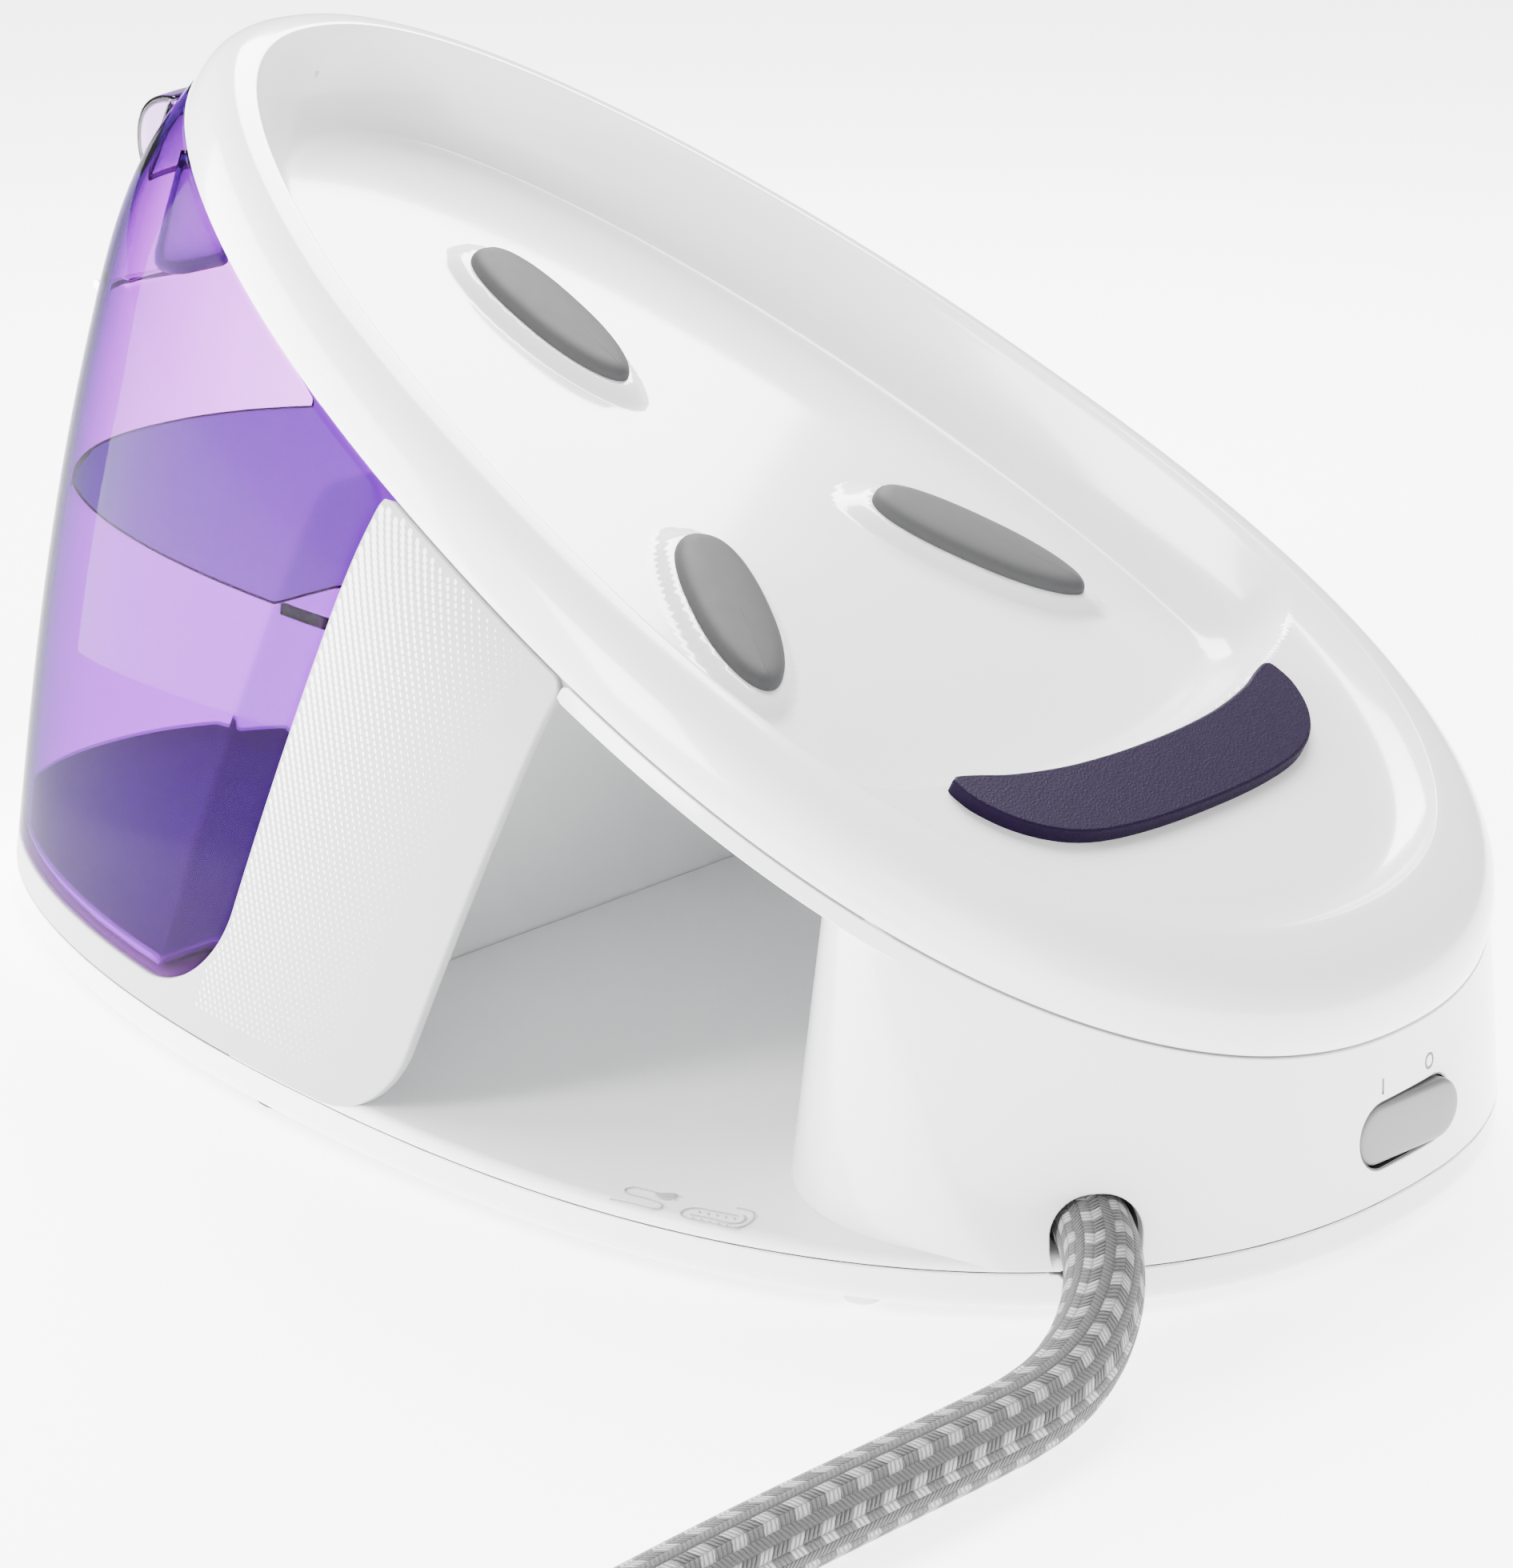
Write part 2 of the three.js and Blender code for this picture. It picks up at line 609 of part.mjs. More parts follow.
function boilerBracket() {
  const legs = box([122, 154], [-10, 48], [TRAY_FLOOR + GAP, 17.6]);
  return legs.subtract(box([126, 150], [-20, 60], [0, 15]));
}

function steamValve() {
  return box([126, 150], [-46, -24], [30, 50]).add(rod([138, -35, 49], [138, -35, 56], 7));
}

function hoseCoupling() {
  const inward = new THREE.Vector3(-Math.cos(hoseHeading), -Math.sin(hoseHeading), 0);
  const start = new THREE.Vector3(HOSE_HOLE.x, HOSE_HOLE.y, HOSE_HOLE.z);
  const from = start.clone().addScaledVector(inward, 27.4);
  const to = start.clone().addScaledVector(inward, 40);
  return rod(from.toArray(), to.toArray(), 8.5, 8.5);
}

const hoseHeading = THREE.MathUtils.degToRad(HOSE_HOLE.heading);

function hoseStrainRelief() {
  const inward = new THREE.Vector3(-Math.cos(hoseHeading), -Math.sin(hoseHeading), 0);
  const start = new THREE.Vector3(HOSE_HOLE.x, HOSE_HOLE.y, HOSE_HOLE.z);
  const from = start.clone().addScaledVector(inward, 5);
  const to = start.clone().addScaledVector(inward, 27);
  return rod(from.toArray(), to.toArray(), 7.2, 9);
}

// The valve stem runs through the tank's outlet. Its disc closes the bore from inside the tank, and
// the spring pushes on its outer collar.
function outletRod(x0, x1, radius, sides = 16) {
  return rod([x0, OUTLET.y, OUTLET.z], [x1, OUTLET.y, OUTLET.z], radius, radius, sides);
}

function outletValve() {
  return outletRod(-52, -36, 1.8).add(outletRod(-52.7, -50.4, 4.6)).add(outletRod(-37.2, -35.5, 4.2));
}

function valveSpring() {
  const turns = 3;
  const points = [];
  for (let i = 0; i <= turns * 10; i += 1) {
    const angle = (2 * Math.PI * i) / 10;
    const along = -45.3 + (3.3 * i) / (turns * 10);
    points.push([along, OUTLET.y + 3.2 * Math.cos(angle), OUTLET.z + 3.2 * Math.sin(angle)]);
  }
  return tubeGeometry(points, 0.4, 5, turns * 10);
}

function outletSeal() {
  const ring = new THREE.TorusGeometry(3.95, 0.7, 8, 24);
  ring.rotateY(Math.PI / 2);
  return ring;
}

function tankSocket() {
  const nose = outletRod(-34.9, -20, OUTLET.bore);
  const bore = outletRod(-40, 0, 1.6);
  return outletRod(-27.6, -12, OUTLET.seat, 24).add(nose).subtract(bore);
}

function mainsGland() {
  const { x, z } = MAINS_GLAND;
  const barrel = rod([x, BAY_FAR - 6, z], [x, BAY_FAR + 7, z], 4.7);
  const flange = rod([x, BAY_FAR - GAP - 2.4, z], [x, BAY_FAR - GAP, z], 8);
  return barrel.add(flange).subtract(rod([x, 0, z], [x, 120, z], 3.4));
}

const WATER_TUBES = [
  ["suction_tube", [[-11.7, 76, 30], [-6, 76, 30], [0, 78, 30], [7, 81, 30], [13.6, 81, 30]], 8],
  ["feed_tube", [
    [70.3, 81, 30], [84, 81, 31], [106, 80, 33], [120, 73, 36], [127, 64, 36], [128, 54.3, 36],
  ], 16],
  ["boiler_outlet_tube", [[138, -16.3, 38], [138, -20, 38], [138, -23.7, 38]], 2],
  ["valve_outlet_tube", [[133.5, -41.5, 29.7], [133.5, -41.5, 27.5], [133.5, -41.5, 25.3]], 2],
];

// ---------------------------------------------------------------- steam hose
const HOSE_ROUTE = [
  [156, -61.4, 16.4], [159, -64, 16.3], [166.5, -71.8, 15.1], [172.6, -80.7, 12.7],
  [177, -90.6, 10], [179.6, -101.1, 8.1], [180.4, -111.9, 7.3], [180, -123, 7.2],
  [178.8, -140, 7.2], [177.4, -160, 7.2], [176.2, -183, 7.2], [175.6, -215, 7.2],
  [175.4, -260, 7.2], [175.4, -310, 7.2], [175.5, -369, 7.2],
];
const HOSE_TAIL = [[102, -484, 22.8], [90, -485.6, 22.9], [76, -486, 23], [62.4, -486, 23]];

function hoseCoil() {
  const { inner: low, outer: high, height } = COIL;
  const profile = [[low, 0], [high, 0], [high, height], [low, height], [low, 0]];
  const geometry = new THREE.LatheGeometry(profile.map(([r, z]) => new THREE.Vector2(r, z)), 48);
  return geometry.rotateX(Math.PI / 2);
}

function hoseConnector() {
  const { length, radius } = CONNECTOR;
  const profile = [
    [0, 0], [7.2, 0], [radius, 14], [radius, 30], [5.5, 31], [5.5, 38], [6.5, 39], [6.5, 44],
    [4, length], [0, length],
  ];
  return new THREE.LatheGeometry(profile.map(([r, z]) => new THREE.Vector2(r, z)), 20);
}

// ---------------------------------------------------------------- assembly
const group = new THREE.Group();

function addPart(parent, name, shape, look) {
  const geometry = shape.isBufferGeometry ? shape : geometryOf(shape);
  const mesh = new THREE.Mesh(geometry, new THREE.MeshStandardMaterial(COLOURS[look]));
  mesh.name = name;
  parent.add(mesh);
  return mesh;
}

addPart(group, "base_tray", baseTray(), "white");
FEET.forEach(([x, y], i) => addPart(group, `foot_${i + 1}`, foot(), "rubber").position.set(x, y, 0));
SCREWS.forEach(([x, y], i) => {
  addPart(group, `tray_screw_${i + 1}`, screw(), "steel").position.set(x, y, FOOT_HEIGHT - 2.2);
});
addPart(group, "rear_housing", rearHousing(), "satinWhite");
addPart(group, "front_housing", frontHousing(), "white");
addPart(group, "bay_liner", bayLiner(), "white");
addPart(group, "lower_deck", lowerDeck(), "white");

const coverFrame = new THREE.Group();
coverFrame.position.set(COVER.centre, 0, coverPlane(COVER.centre));
coverFrame.rotation.y = COVER_TILT;
group.add(coverFrame);
addPart(coverFrame, "top_cover", topCover(), "white");
PADS.forEach(([u, v, turn], i) => {
  const pad = addPart(coverFrame, `rest_pad_${i + 1}`, restPad(), "grey");
  pad.position.set(u, v, 0);
  pad.rotation.z = THREE.MathUtils.degToRad(turn);
});
addPart(coverFrame, "heel_dock", heelDock(), "purple");

addPart(group, "water_tank", waterTank(), "tank");
addPart(group, "tank_filler_lid", fillerLid(), "tank");
addPart(group, "tank_lid_pin", lidPin(), "steel");
addPart(group, "tank_outlet_valve", outletValve(), "black");
addPart(group, "valve_spring", valveSpring(), "steel");
addPart(group, "tank_outlet_seal", outletSeal(), "rubber").position.set(-31, OUTLET.y, OUTLET.z);
addPart(group, "tank_socket", tankSocket(), "white");

addPart(group, "power_rocker", rocker(), "switchGrey");
addPart(group, "switch_housing", switchHousing(), "black");

addPart(group, "water_pump", waterPump(), "black");
addPart(group, "pump_mount", pumpMount(), "rubber");
addPart(group, "boiler", boiler(), "cast");
addPart(group, "boiler_bracket", boilerBracket(), "steel");
addPart(group, "steam_valve", steamValve(), "black");
addPart(group, "boiler_thermostat", post(130, 0, 44.3, 50, 7), "black");
addPart(group, "control_board", box([158.5, 159.9], [-20, 30], [16, 42]), "board");
addPart(group, "terminal_block", box([84, 104], [70, 84], [TRAY_FLOOR + GAP, 24]), "black");
addPart(group, "mains_cord_gland", mainsGland(), "black");
for (const [name, points, steps] of WATER_TUBES) {
  addPart(group, name, tubeGeometry(points, 3, 10, steps), "silicone");
}
addPart(group, "hose_coupling", hoseCoupling(), "steel");
addPart(group, "hose_strain_relief", hoseStrainRelief(), "rubber");

const hoseRadius = HOSE_DIAMETER / 2;
addPart(group, "steam_hose", tubeGeometry(HOSE_ROUTE, hoseRadius, HOSE_SIDES, 14), "sleeve");
addPart(group, "steam_hose_coil", hoseCoil(), "sleeve").position.set(COIL.x, COIL.y, 0.1);
addPart(group, "steam_hose_tail", tubeGeometry(HOSE_TAIL, hoseRadius, HOSE_SIDES, 3), "sleeve");
const connector = addPart(group, "hose_connector", hoseConnector(), "black");
connector.rotation.z = Math.PI / 2;
connector.position.set(62, -486, 23);

export default group;
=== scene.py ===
"""Looks of the steam generator base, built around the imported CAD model. Lengths are in millimetres
until a mesh is made; Blender's own objects are in metres."""
import math
from functools import partial, reduce

import bpy
import numpy as np
from mathutils import Matrix, Vector


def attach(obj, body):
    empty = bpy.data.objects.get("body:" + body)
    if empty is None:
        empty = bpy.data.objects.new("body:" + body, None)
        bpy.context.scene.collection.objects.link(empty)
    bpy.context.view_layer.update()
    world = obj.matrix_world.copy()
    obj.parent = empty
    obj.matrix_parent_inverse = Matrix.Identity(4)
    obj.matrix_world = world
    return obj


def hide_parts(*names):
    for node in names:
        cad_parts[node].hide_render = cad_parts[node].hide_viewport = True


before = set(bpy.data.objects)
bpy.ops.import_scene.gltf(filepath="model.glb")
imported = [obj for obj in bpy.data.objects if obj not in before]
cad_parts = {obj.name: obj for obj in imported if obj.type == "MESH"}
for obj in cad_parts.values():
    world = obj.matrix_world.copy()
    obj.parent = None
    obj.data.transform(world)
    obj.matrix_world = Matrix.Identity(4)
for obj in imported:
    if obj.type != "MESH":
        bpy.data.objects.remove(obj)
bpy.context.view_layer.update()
MM = 0.001

# ------------------------------------------------------------------ camera, light, floor
FRAME_HEIGHT_PX = 1960
FOCAL_PX = 5042.5
SENSOR = 36.0
eye = Vector((0.53678, -0.58386, 0.30899))
forward = Vector((-0.62682, 0.71376, -0.31248)).normalized()
right = Vector((0.75065, 0.66069, 0.00335)).normalized()
up = right.cross(forward).normalized()
camera_data = bpy.data.cameras.new("camera")
camera_data.lens = FOCAL_PX * SENSOR / FRAME_HEIGHT_PX
camera_data.sensor_width = SENSOR
camera_data.clip_end = 50
camera = bpy.data.objects.new("camera", camera_data)
bpy.context.collection.objects.link(camera)
axes = Matrix((right, up, -forward)).transposed()
camera.matrix_world = Matrix.Translation(eye) @ axes.to_4x4()
bpy.context.scene.camera = camera


# ------------------------------------------------------------------ node helpers
class Shader:
    """A material's node tree with a Principled shader, and short ways to add nodes."""

    def __init__(self, name):
        self.material = bpy.data.materials.new(name)
        self.material.use_nodes = True
        self.tree = self.material.node_tree
        self.bsdf = self.tree.nodes["Principled BSDF"]
        self.out = self.tree.nodes["Material Output"]

    def set(self, **values):
        for key, value in values.items():
            self.bsdf.inputs[key.replace("_", " ")].default_value = value
        return self

    def link(self, a, b):
        self.tree.links.new(a, b)

    def feed(self, **outputs):
        for key, output in outputs.items():
            self.link(output, self.bsdf.inputs[key.replace("_", " ")])

    def node(self, kind, inputs=None, **settings):
        made = self.tree.nodes.new("ShaderNode" + kind)
        for key, value in settings.items():
            setattr(made, key, value)
        for key, value in (inputs or {}).items():
            socket = made.inputs[key]
            if isinstance(value, bpy.types.NodeSocket):
                self.link(value, socket)
            else:
                socket.default_value = value
        return made

    def math(self, operation, a, b=0.0, c=0.0):
        return self.node("Math", {0: a, 1: b, 2: c}, operation=operation).outputs[0]

    def place(self):
        return self.node("TexCoord").outputs["Object"]

    def noise(self, scale, detail=3.0, vector=None, **extra):
        inputs = {"Vector": vector or self.place(), "Scale": scale, "Detail": detail}
        inputs.update(extra)
        return self.node("TexNoise", inputs).outputs["Fac"]

    def mottle(self, value, low, high):
        """A colour that drifts between two others with a value."""
        made = self.node("ValToRGB", {"Fac": value})
        for element, place, color in zip(made.color_ramp.elements, (0.3, 0.7), (low, high)):
            element.position = place
            element.color = (*color, 1)
        return made.outputs["Color"]

    def spread(self, value, low, high):
        """A value between 0 and 1 spread between low and high."""
        return self.node("MapRange", {"Value": value, "To Min": low, "To Max": high}).outputs[0]

    def bump(self, height, strength, distance):
        made = self.node("Bump", {"Height": height, "Strength": strength, "Distance": distance})
        self.link(made.outputs["Normal"], self.bsdf.inputs["Normal"])
        return self


def plastic(name, color, roughness, grain, depth, wear=0.03, vary=0.02):
    """Moulded plastic or rubber: a fine grain, with a little change of colour and gloss."""
    s = Shader(name)
    s.feed(Base_Color=s.mottle(s.noise(35.0, 4.0), [c * (1 - vary) for c in color], color),
           Roughness=s.spread(s.noise(260.0, 3.0), roughness - wear, roughness + wear))
    return s.bump(s.noise(grain, 2.0), 0.35, depth)


def metal(name, color, roughness):
    s = Shader(name).set(Metallic=1.0)
    streak = s.noise(900.0, 3.0)
    s.feed(Base_Color=s.mottle(streak, [c * 0.85 for c in color], color),
           Roughness=s.spread(s.noise(400.0), roughness * 0.8, roughness * 1.2))
    return s.bump(streak, 0.3, 0.00005)


WHITE = plastic("gloss_white", (0.86, 0.865, 0.87), 0.2, 900.0, 0.000012, 0.02, 0.01)
WHITE.set(Coat_Weight=0.6, Coat_Roughness=0.08)
SATIN = plastic("satin_white", (0.4, 0.404, 0.408), 0.42, 3200.0, 0.00004, 0.04, 0.015)
DOTS = plastic("printed_white", (0.95, 0.95, 0.95), 0.3, 1500.0, 0.00001)
BAY = plastic("bay_white", (0.9, 0.905, 0.91), 0.33, 2200.0, 0.00002, 0.03, 0.01)
PAD = plastic("pad_grey", (0.07, 0.07, 0.0715), 0.6, 2600.0, 0.00003, 0.05, 0.03).set(Specular_IOR_Level=0.15)
ROCKER = plastic("switch_grey", (0.17, 0.17, 0.173), 0.38, 2400.0, 0.00002, 0.03, 0.02)
MARK = plastic("mark_grey", (0.1, 0.1, 0.102), 0.4, 2000.0, 0.00001)
# The bay's symbols are white raised lines; this grey colour is painted shade, standing in for the shade along
# them.
SYMBOL_PAINTED_SHADE = plastic("symbol_grey_painted_shade", (0.4, 0.4, 0.405), 0.4, 2000.0, 0.00001)
BLACK = plastic("black_plastic", (0.02, 0.02, 0.022), 0.45, 1800.0, 0.00004, 0.06, 0.2)
RUBBER = plastic("foot_rubber", (0.018, 0.018, 0.019), 0.75, 1400.0, 0.00008, 0.08, 0.25)
CLEAR_TUBE = plastic("silicone", (0.75, 0.72, 0.66), 0.35, 900.0, 0.00003).set(Transmission_Weight=0.4)
BOARD = plastic("board_green", (0.03, 0.16, 0.07), 0.4, 500.0, 0.0001, 0.08, 0.4)
STEEL = metal("steel", (0.62, 0.62, 0.63), 0.32)
CAST = plastic("cast_metal", (0.55, 0.55, 0.54), 0.5, 700.0, 0.0002, 0.08, 0.15).set(Metallic=0.9)


def leather(name, color):
    s = Shader(name).set(Specular_IOR_Level=0.07)
    cells = s.node("TexVoronoi", {"Vector": s.place(), "Scale": 1250.0}, feature="DISTANCE_TO_EDGE")
    pores = s.noise(2100.0, 3.0)
    height = s.math("ADD", s.spread(cells.outputs["Distance"], 0.0, 1.6), s.math("MULTIPLY", pores, 0.5))
    s.feed(Base_Color=s.mottle(s.noise(420.0, 4.0), [c * 0.82 for c in color], color),
           Roughness=s.spread(pores, 0.42, 0.62))
    return s.bump(height, 0.5, 0.00012)


DOCK = leather("dock_purple", (0.010, 0.0042, 0.022))


def tinted(name, color, density, roughness, ior, coat):
    """Clear tinted plastic: colour comes from the depth of material that light goes through."""
    s = Shader(name).set(Base_Color=(1, 1, 1, 1), Transmission_Weight=1.0, IOR=ior)
    s.set(Coat_Weight=coat, Coat_Roughness=0.02)
    s.feed(Roughness=s.spread(s.noise(180.0, 2.0), roughness * 0.6, roughness * 1.4))
    volume = s.node("VolumeAbsorption", {"Color": (*color, 1), "Density": density})
    s.link(volume.outputs[0], s.out.inputs["Volume"])
    return s


TANK = tinted("tank_purple", (0.67, 0.13, 0.78), 440.0, 0.02, 1.01, 0.09)
GRIP = tinted("grip_purple", (0.6, 0.14, 0.8), 360.0, 0.03, 1.1, 0.3)
FLOOR_TINT = plastic("tank_floor_purple", (0.52, 0.16, 0.82), 0.35, 900.0, 0.00001)
POCKET = tinted("pocket_purple", (0.67, 0.13, 0.78), 800.0, 0.02, 1.01, 0.09)
WATER = tinted("tank_water", (0.66, 0.22, 0.82), 13.0, 0.005, 1.01, 0.0)


def woven(name):
    """A braided sleeve. U counts strokes along the hose and V counts wales round it."""
    s = Shader(name).set(Sheen_Weight=0.2, Sheen_Roughness=0.4)
    plus, minus, times = (partial(s.math, kind) for kind in ("ADD", "SUBTRACT", "MULTIPLY"))
    uv = s.node("UVMap", uv_map="weave").outputs[0]
    parts = s.node("SeparateXYZ", {0: uv})
    along, around = parts.outputs[0], parts.outputs[1]
    wobble = times(minus(s.noise(1.3, 2.0, uv), 0.5), 0.5)
    wale = s.math("FLOOR", around)
    across = minus(s.math("FRACT", around), 0.5)
    # Strokes slant one way in one wale and the other way in the next.
    side = minus(times(s.math("MODULO", wale, 2.0), 2.0), 1.0)
    stroke = plus(plus(along, times(times(across, side), 1.15)), wobble)
    saw = times(minus(s.math("FRACT", stroke), 0.5), 2.0)
    round_stroke = minus(1.0, s.math("POWER", s.math("ABSOLUTE", saw), 2.2))
    edge = times(s.math("ABSOLUTE", across), 2.0)
    round_wale = minus(1.0, times(s.math("POWER", edge, 3.0), 0.8))
    high = times(round_stroke, round_wale)
    stretched = s.node("Mapping", {"Vector": uv, "Scale": (6.0, 26.0, 1.0)}).outputs[0]
    fibres = s.noise(1.0, 3.0, stretched)
    # Light checks two wales wide and three strokes long, offset by half a pitch from row to row.
    row = s.math("FLOOR", s.math("DIVIDE", wale, 3.0))
    shift = times(s.math("MODULO", row, 2.0), 3.5)
    turn = s.math("MODULO", plus(s.math("FLOOR", plus(stroke, shift)), 7000.0), 7.0)
    light = times(s.math("LESS_THAN", turn, 2.5), s.math("LESS_THAN", s.math("MODULO", wale, 3.0), 1.5))
    # Painted shade: the colour drops to 0.3 of itself in the grooves between strokes and wales, where shade
    # would fall; the fibre noise is the yarn's own tone.
    groove_shade_and_fibre_tone = times(s.spread(high, 0.3, 1.0), s.spread(fibres, 0.72, 1.2))
    first, second = 6, 7  # the colour sockets of a Mix node
    grey = s.node("Mix", {"Factor": light, first: (0.075, 0.075, 0.077, 1), second: (0.46, 0.46, 0.47, 1)},
                  data_type="RGBA")
    color = s.node("Mix", {"Factor": 1.0, first: grey.outputs[2], second: groove_shade_and_fibre_tone}, data_type="RGBA",
                   blend_type="MULTIPLY")
    s.feed(Base_Color=color.outputs[2], Roughness=s.spread(fibres, 0.5, 0.75))
    return s.bump(plus(high, times(fibres, 0.25)), 0.9, 0.0005)


# ------------------------------------------------------------------ making meshes
def mesh_object(name, points, faces, shader, body="base", normals=None, smooth=True):
    mesh = bpy.data.meshes.new(name)
    mesh.from_pydata([tuple(p) for p in np.reshape(points, (-1, 3)) * MM], [], [tuple(f) for f in faces])
    mesh.polygons.foreach_set("use_smooth", [smooth] * len(mesh.polygons))
    if normals is not None:
        mesh.normals_split_custom_set_from_vertices([tuple(n) for n in np.reshape(normals, (-1, 3))])
    mesh.materials.append(shader.material)
    made = bpy.data.objects.new(name, mesh)
    bpy.context.collection.objects.link(made)
    if body:
        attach(made, body)
    return made


def unit(vectors):
    return vectors / np.maximum(np.linalg.norm(vectors, axis=-1, keepdims=True), 1e-12)


def circle(count):
    """Angles evenly round a circle."""
    return np.linspace(0, 2 * math.pi, count, endpoint=False)


def least(*fields):
    return reduce(np.minimum, fields)


def even_points(line, count=0, spacing=1.0, closed=False):
    """Even points along a line, as many as count or about a spacing apart, and the line's length."""
    if closed:
        line = np.vstack([line, line[:1]])
    length = np.concatenate([[0], np.cumsum(np.linalg.norm(np.diff(line, axis=0), axis=1))])
    want = np.linspace(0, length[-1], count or int(length[-1] / spacing) + 1, endpoint=not closed)
    return np.stack([np.interp(want, length, column) for column in line.T], -1), length[-1]


def grid_faces(rows, columns, wrap):
    """Quads of a grid; the last column joins the first one if it wraps round."""
    r, c = np.meshgrid(np.arange(rows - 1), np.arange(columns if wrap else columns - 1), indexing="ij")
    n = (c + 1) % columns
    return np.stack([r * columns + c, r * columns + n, (r + 1) * columns + n, (r + 1) * columns + c],
                    -1).reshape(-1, 4)


def capped_faces(rows, columns):
    """Faces of a stack of closed rings, with its two ends closed."""
    last = (rows - 1) * columns
    ends = [tuple(range(columns))[::-1], tuple(range(last, last + columns))]
    return list(grid_faces(rows, columns, True)) + ends


def soft_grid(rings, wrap=True):
    """Vertex normals of a stack of rings, by differences along and across them."""
    across = np.gradient(rings, axis=0)
    if wrap:
        along = np.roll(rings, -1, 1) - np.roll(rings, 1, 1)
    else:
        along = np.gradient(rings, axis=1)
    return unit(np.cross(along, across))


def clip(surface, us, vs, inside):
    """The part of a surface where inside is positive.
    Returns points, normals, faces and the pairs of points along the cut."""
    U, V = np.meshgrid(us, vs, indexing="ij")
    P, N = surface(U.ravel(), V.ravel())
    F = inside(P, N)
    columns = len(vs)
    quads = grid_faces(len(us), columns, False)[:, ::-1]
    keep = F > 0
    count = keep[quads].sum(1)
    faces = [tuple(q) for q in quads[count == 4]]
    new_uv = []
    made = {}
    flat_u, flat_v = U.ravel(), V.ravel()

    def crossing(a, b):
        key = (min(a, b), max(a, b))
        if key not in made:
            t = F[a] / (F[a] - F[b])
            made[key] = len(F) + len(new_uv)
            new_uv.append((flat_u[a] + t * (flat_u[b] - flat_u[a]), flat_v[a] + t * (flat_v[b] - flat_v[a])))
        return made[key]

    edges = []
    for quad in quads[(count > 0) & (count < 4)]:
        loop, exits = [], []
        for i in range(4):
            a, b = int(quad[i]), int(quad[(i + 1) % 4])
            if keep[a]:
                loop.append(a)
            if keep[a] != keep[b]:
                loop.append(crossing(a, b))
                exits.append((loop[-1], keep[a]))
        faces.append(tuple(loop))
        if len(exits) == 2:
            (first, leaving), (second, _) = exits
            edges.append((first, second) if leaving else (second, first))
    if new_uv:
        extra = np.array(new_uv)
        p, n = surface(extra[:, 0], extra[:, 1])
        P, N = np.vstack([P, p]), np.vstack([N, n])
    used = np.unique(np.concatenate([np.array(f, int) for f in faces]))
    index = np.full(len(P), -1)
    index[used] = np.arange(len(used))
    faces = [tuple(int(index[i]) for i in f) for f in faces]
    edges = [(int(index[a]), int(index[b])) for a, b in edges if a != b]
    return P[used], N[used], faces, edges


def slope(field, P):
    """Gradient of a field of points."""
    step = 0.02
    return np.stack([
        (field(P + step * axis) - field(P - step * axis)) / (2 * step) for axis in np.eye(3)], -1)


def panel(name, surface, us, vs, region, shader, radius=0.8, thickness=2.4, back=True, body="base",
          replaces=()):
    """A sheet of moulded plastic over part of a surface, with rounded edges and its own thickness.
    region is the distance to the edge, positive inside; radius may be a function of points."""
    curve = radius if callable(radius) else (lambda P: np.full(len(P), float(radius)))

    def level(P, N):
        G = slope(region, P)
        G = G - (G * N).sum(1, keepdims=True) * N
        size = np.maximum(np.linalg.norm(G, axis=1), 0.05)
        return region(P) / size - curve(P)

    P, N, faces, edges = clip(surface, us, vs, level)
    points, normals, out = [P], [N], list(faces)
    rim = sorted({i for pair in edges for i in pair})
    place = {v: k for k, v in enumerate(rim)}
    p, n = P[rim], N[rim]
    G = slope(region, p)
    B = -unit(G - (G * n).sum(1, keepdims=True) * n)
    r = curve(p)[:, None]
    steps = [(math.sin(a), 1 - math.cos(a), math.cos(a), math.sin(a))
             for a in np.linspace(0, math.pi / 2, 6)[1:]]
    rings = [(p + B * r * s - n * r * c, n * nn + B * bb) for s, c, nn, bb in steps]
    if back:
        rb = np.minimum(r, thickness / 2)
        for s, c, nn, bb in reversed([(0.0, 0.0, 1.0, 0.0)] + steps[:-1]):
            rings.append((p + B * (r - rb + rb * s) - n * (thickness - rb * c), -n * nn + B * bb))
    else:
        rings.append((p + B * r - n * (r + thickness), B))
    base = len(P)
    previous = rim
    for ring_p, ring_n in rings:
        start = base
        points.append(ring_p)
        normals.append(ring_n)
        for a, b in edges:
            ia, ib = place[a], place[b]
            out.append((previous[ib], previous[ia], start + ia, start + ib))
        previous = list(range(start, start + len(rim)))
        base += len(rim)
    if back:
        start = base
        points.append(P - N * thickness)
        normals.append(-N)
        out += [tuple(start + i for i in reversed(f)) for f in faces]
        for a, b in edges:
            ia, ib = place[a], place[b]
            out.append((previous[ib], previous[ia], start + a, start + b))
    made = mesh_object(name, np.vstack(points), out, shader, body, unit(np.vstack(normals)))
    if replaces:
        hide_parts(*replaces)


# ------------------------------------------------------------------ the body's shape
HOUSING_BOTTOM = 10.3
BASE = dict(a=180.9, b=103.0, n=2.24, egg=0.212, centre=0.0)
COVER = dict(a=148.9, b=87.6, n=2.21, egg=0.222, centre=30.6)
COVER_HEIGHT = 130.3
COVER_SLOPE = 0.4929
TILT = math.atan(COVER_SLOPE)
COS_TILT = math.cos(TILT)
SWELL = 10.8  # how far the wall bulges at the high end
SWELL_PEAK = 0.7  # the share of the wall's height where it bulges most


def outline(shape, t, inset_a=0.0, inset_b=0.0):
    a, b = shape["a"] - inset_a, shape["b"] - inset_b
    c, s = np.cos(t), np.sin(t)
    x = a * np.sign(c) * np.abs(c) ** (2 / shape["n"])
    y = b * np.sign(s) * np.abs(s) ** (2 / shape["n"]) * (1 + shape["egg"] * x / a)
    return x + shape["centre"], y


def cover_plane(x):
    return COVER_HEIGHT - COVER_SLOPE * x


def below_cover(P):
    return (cover_plane(P[:, 0]) - P[:, 2]) * COS_TILT


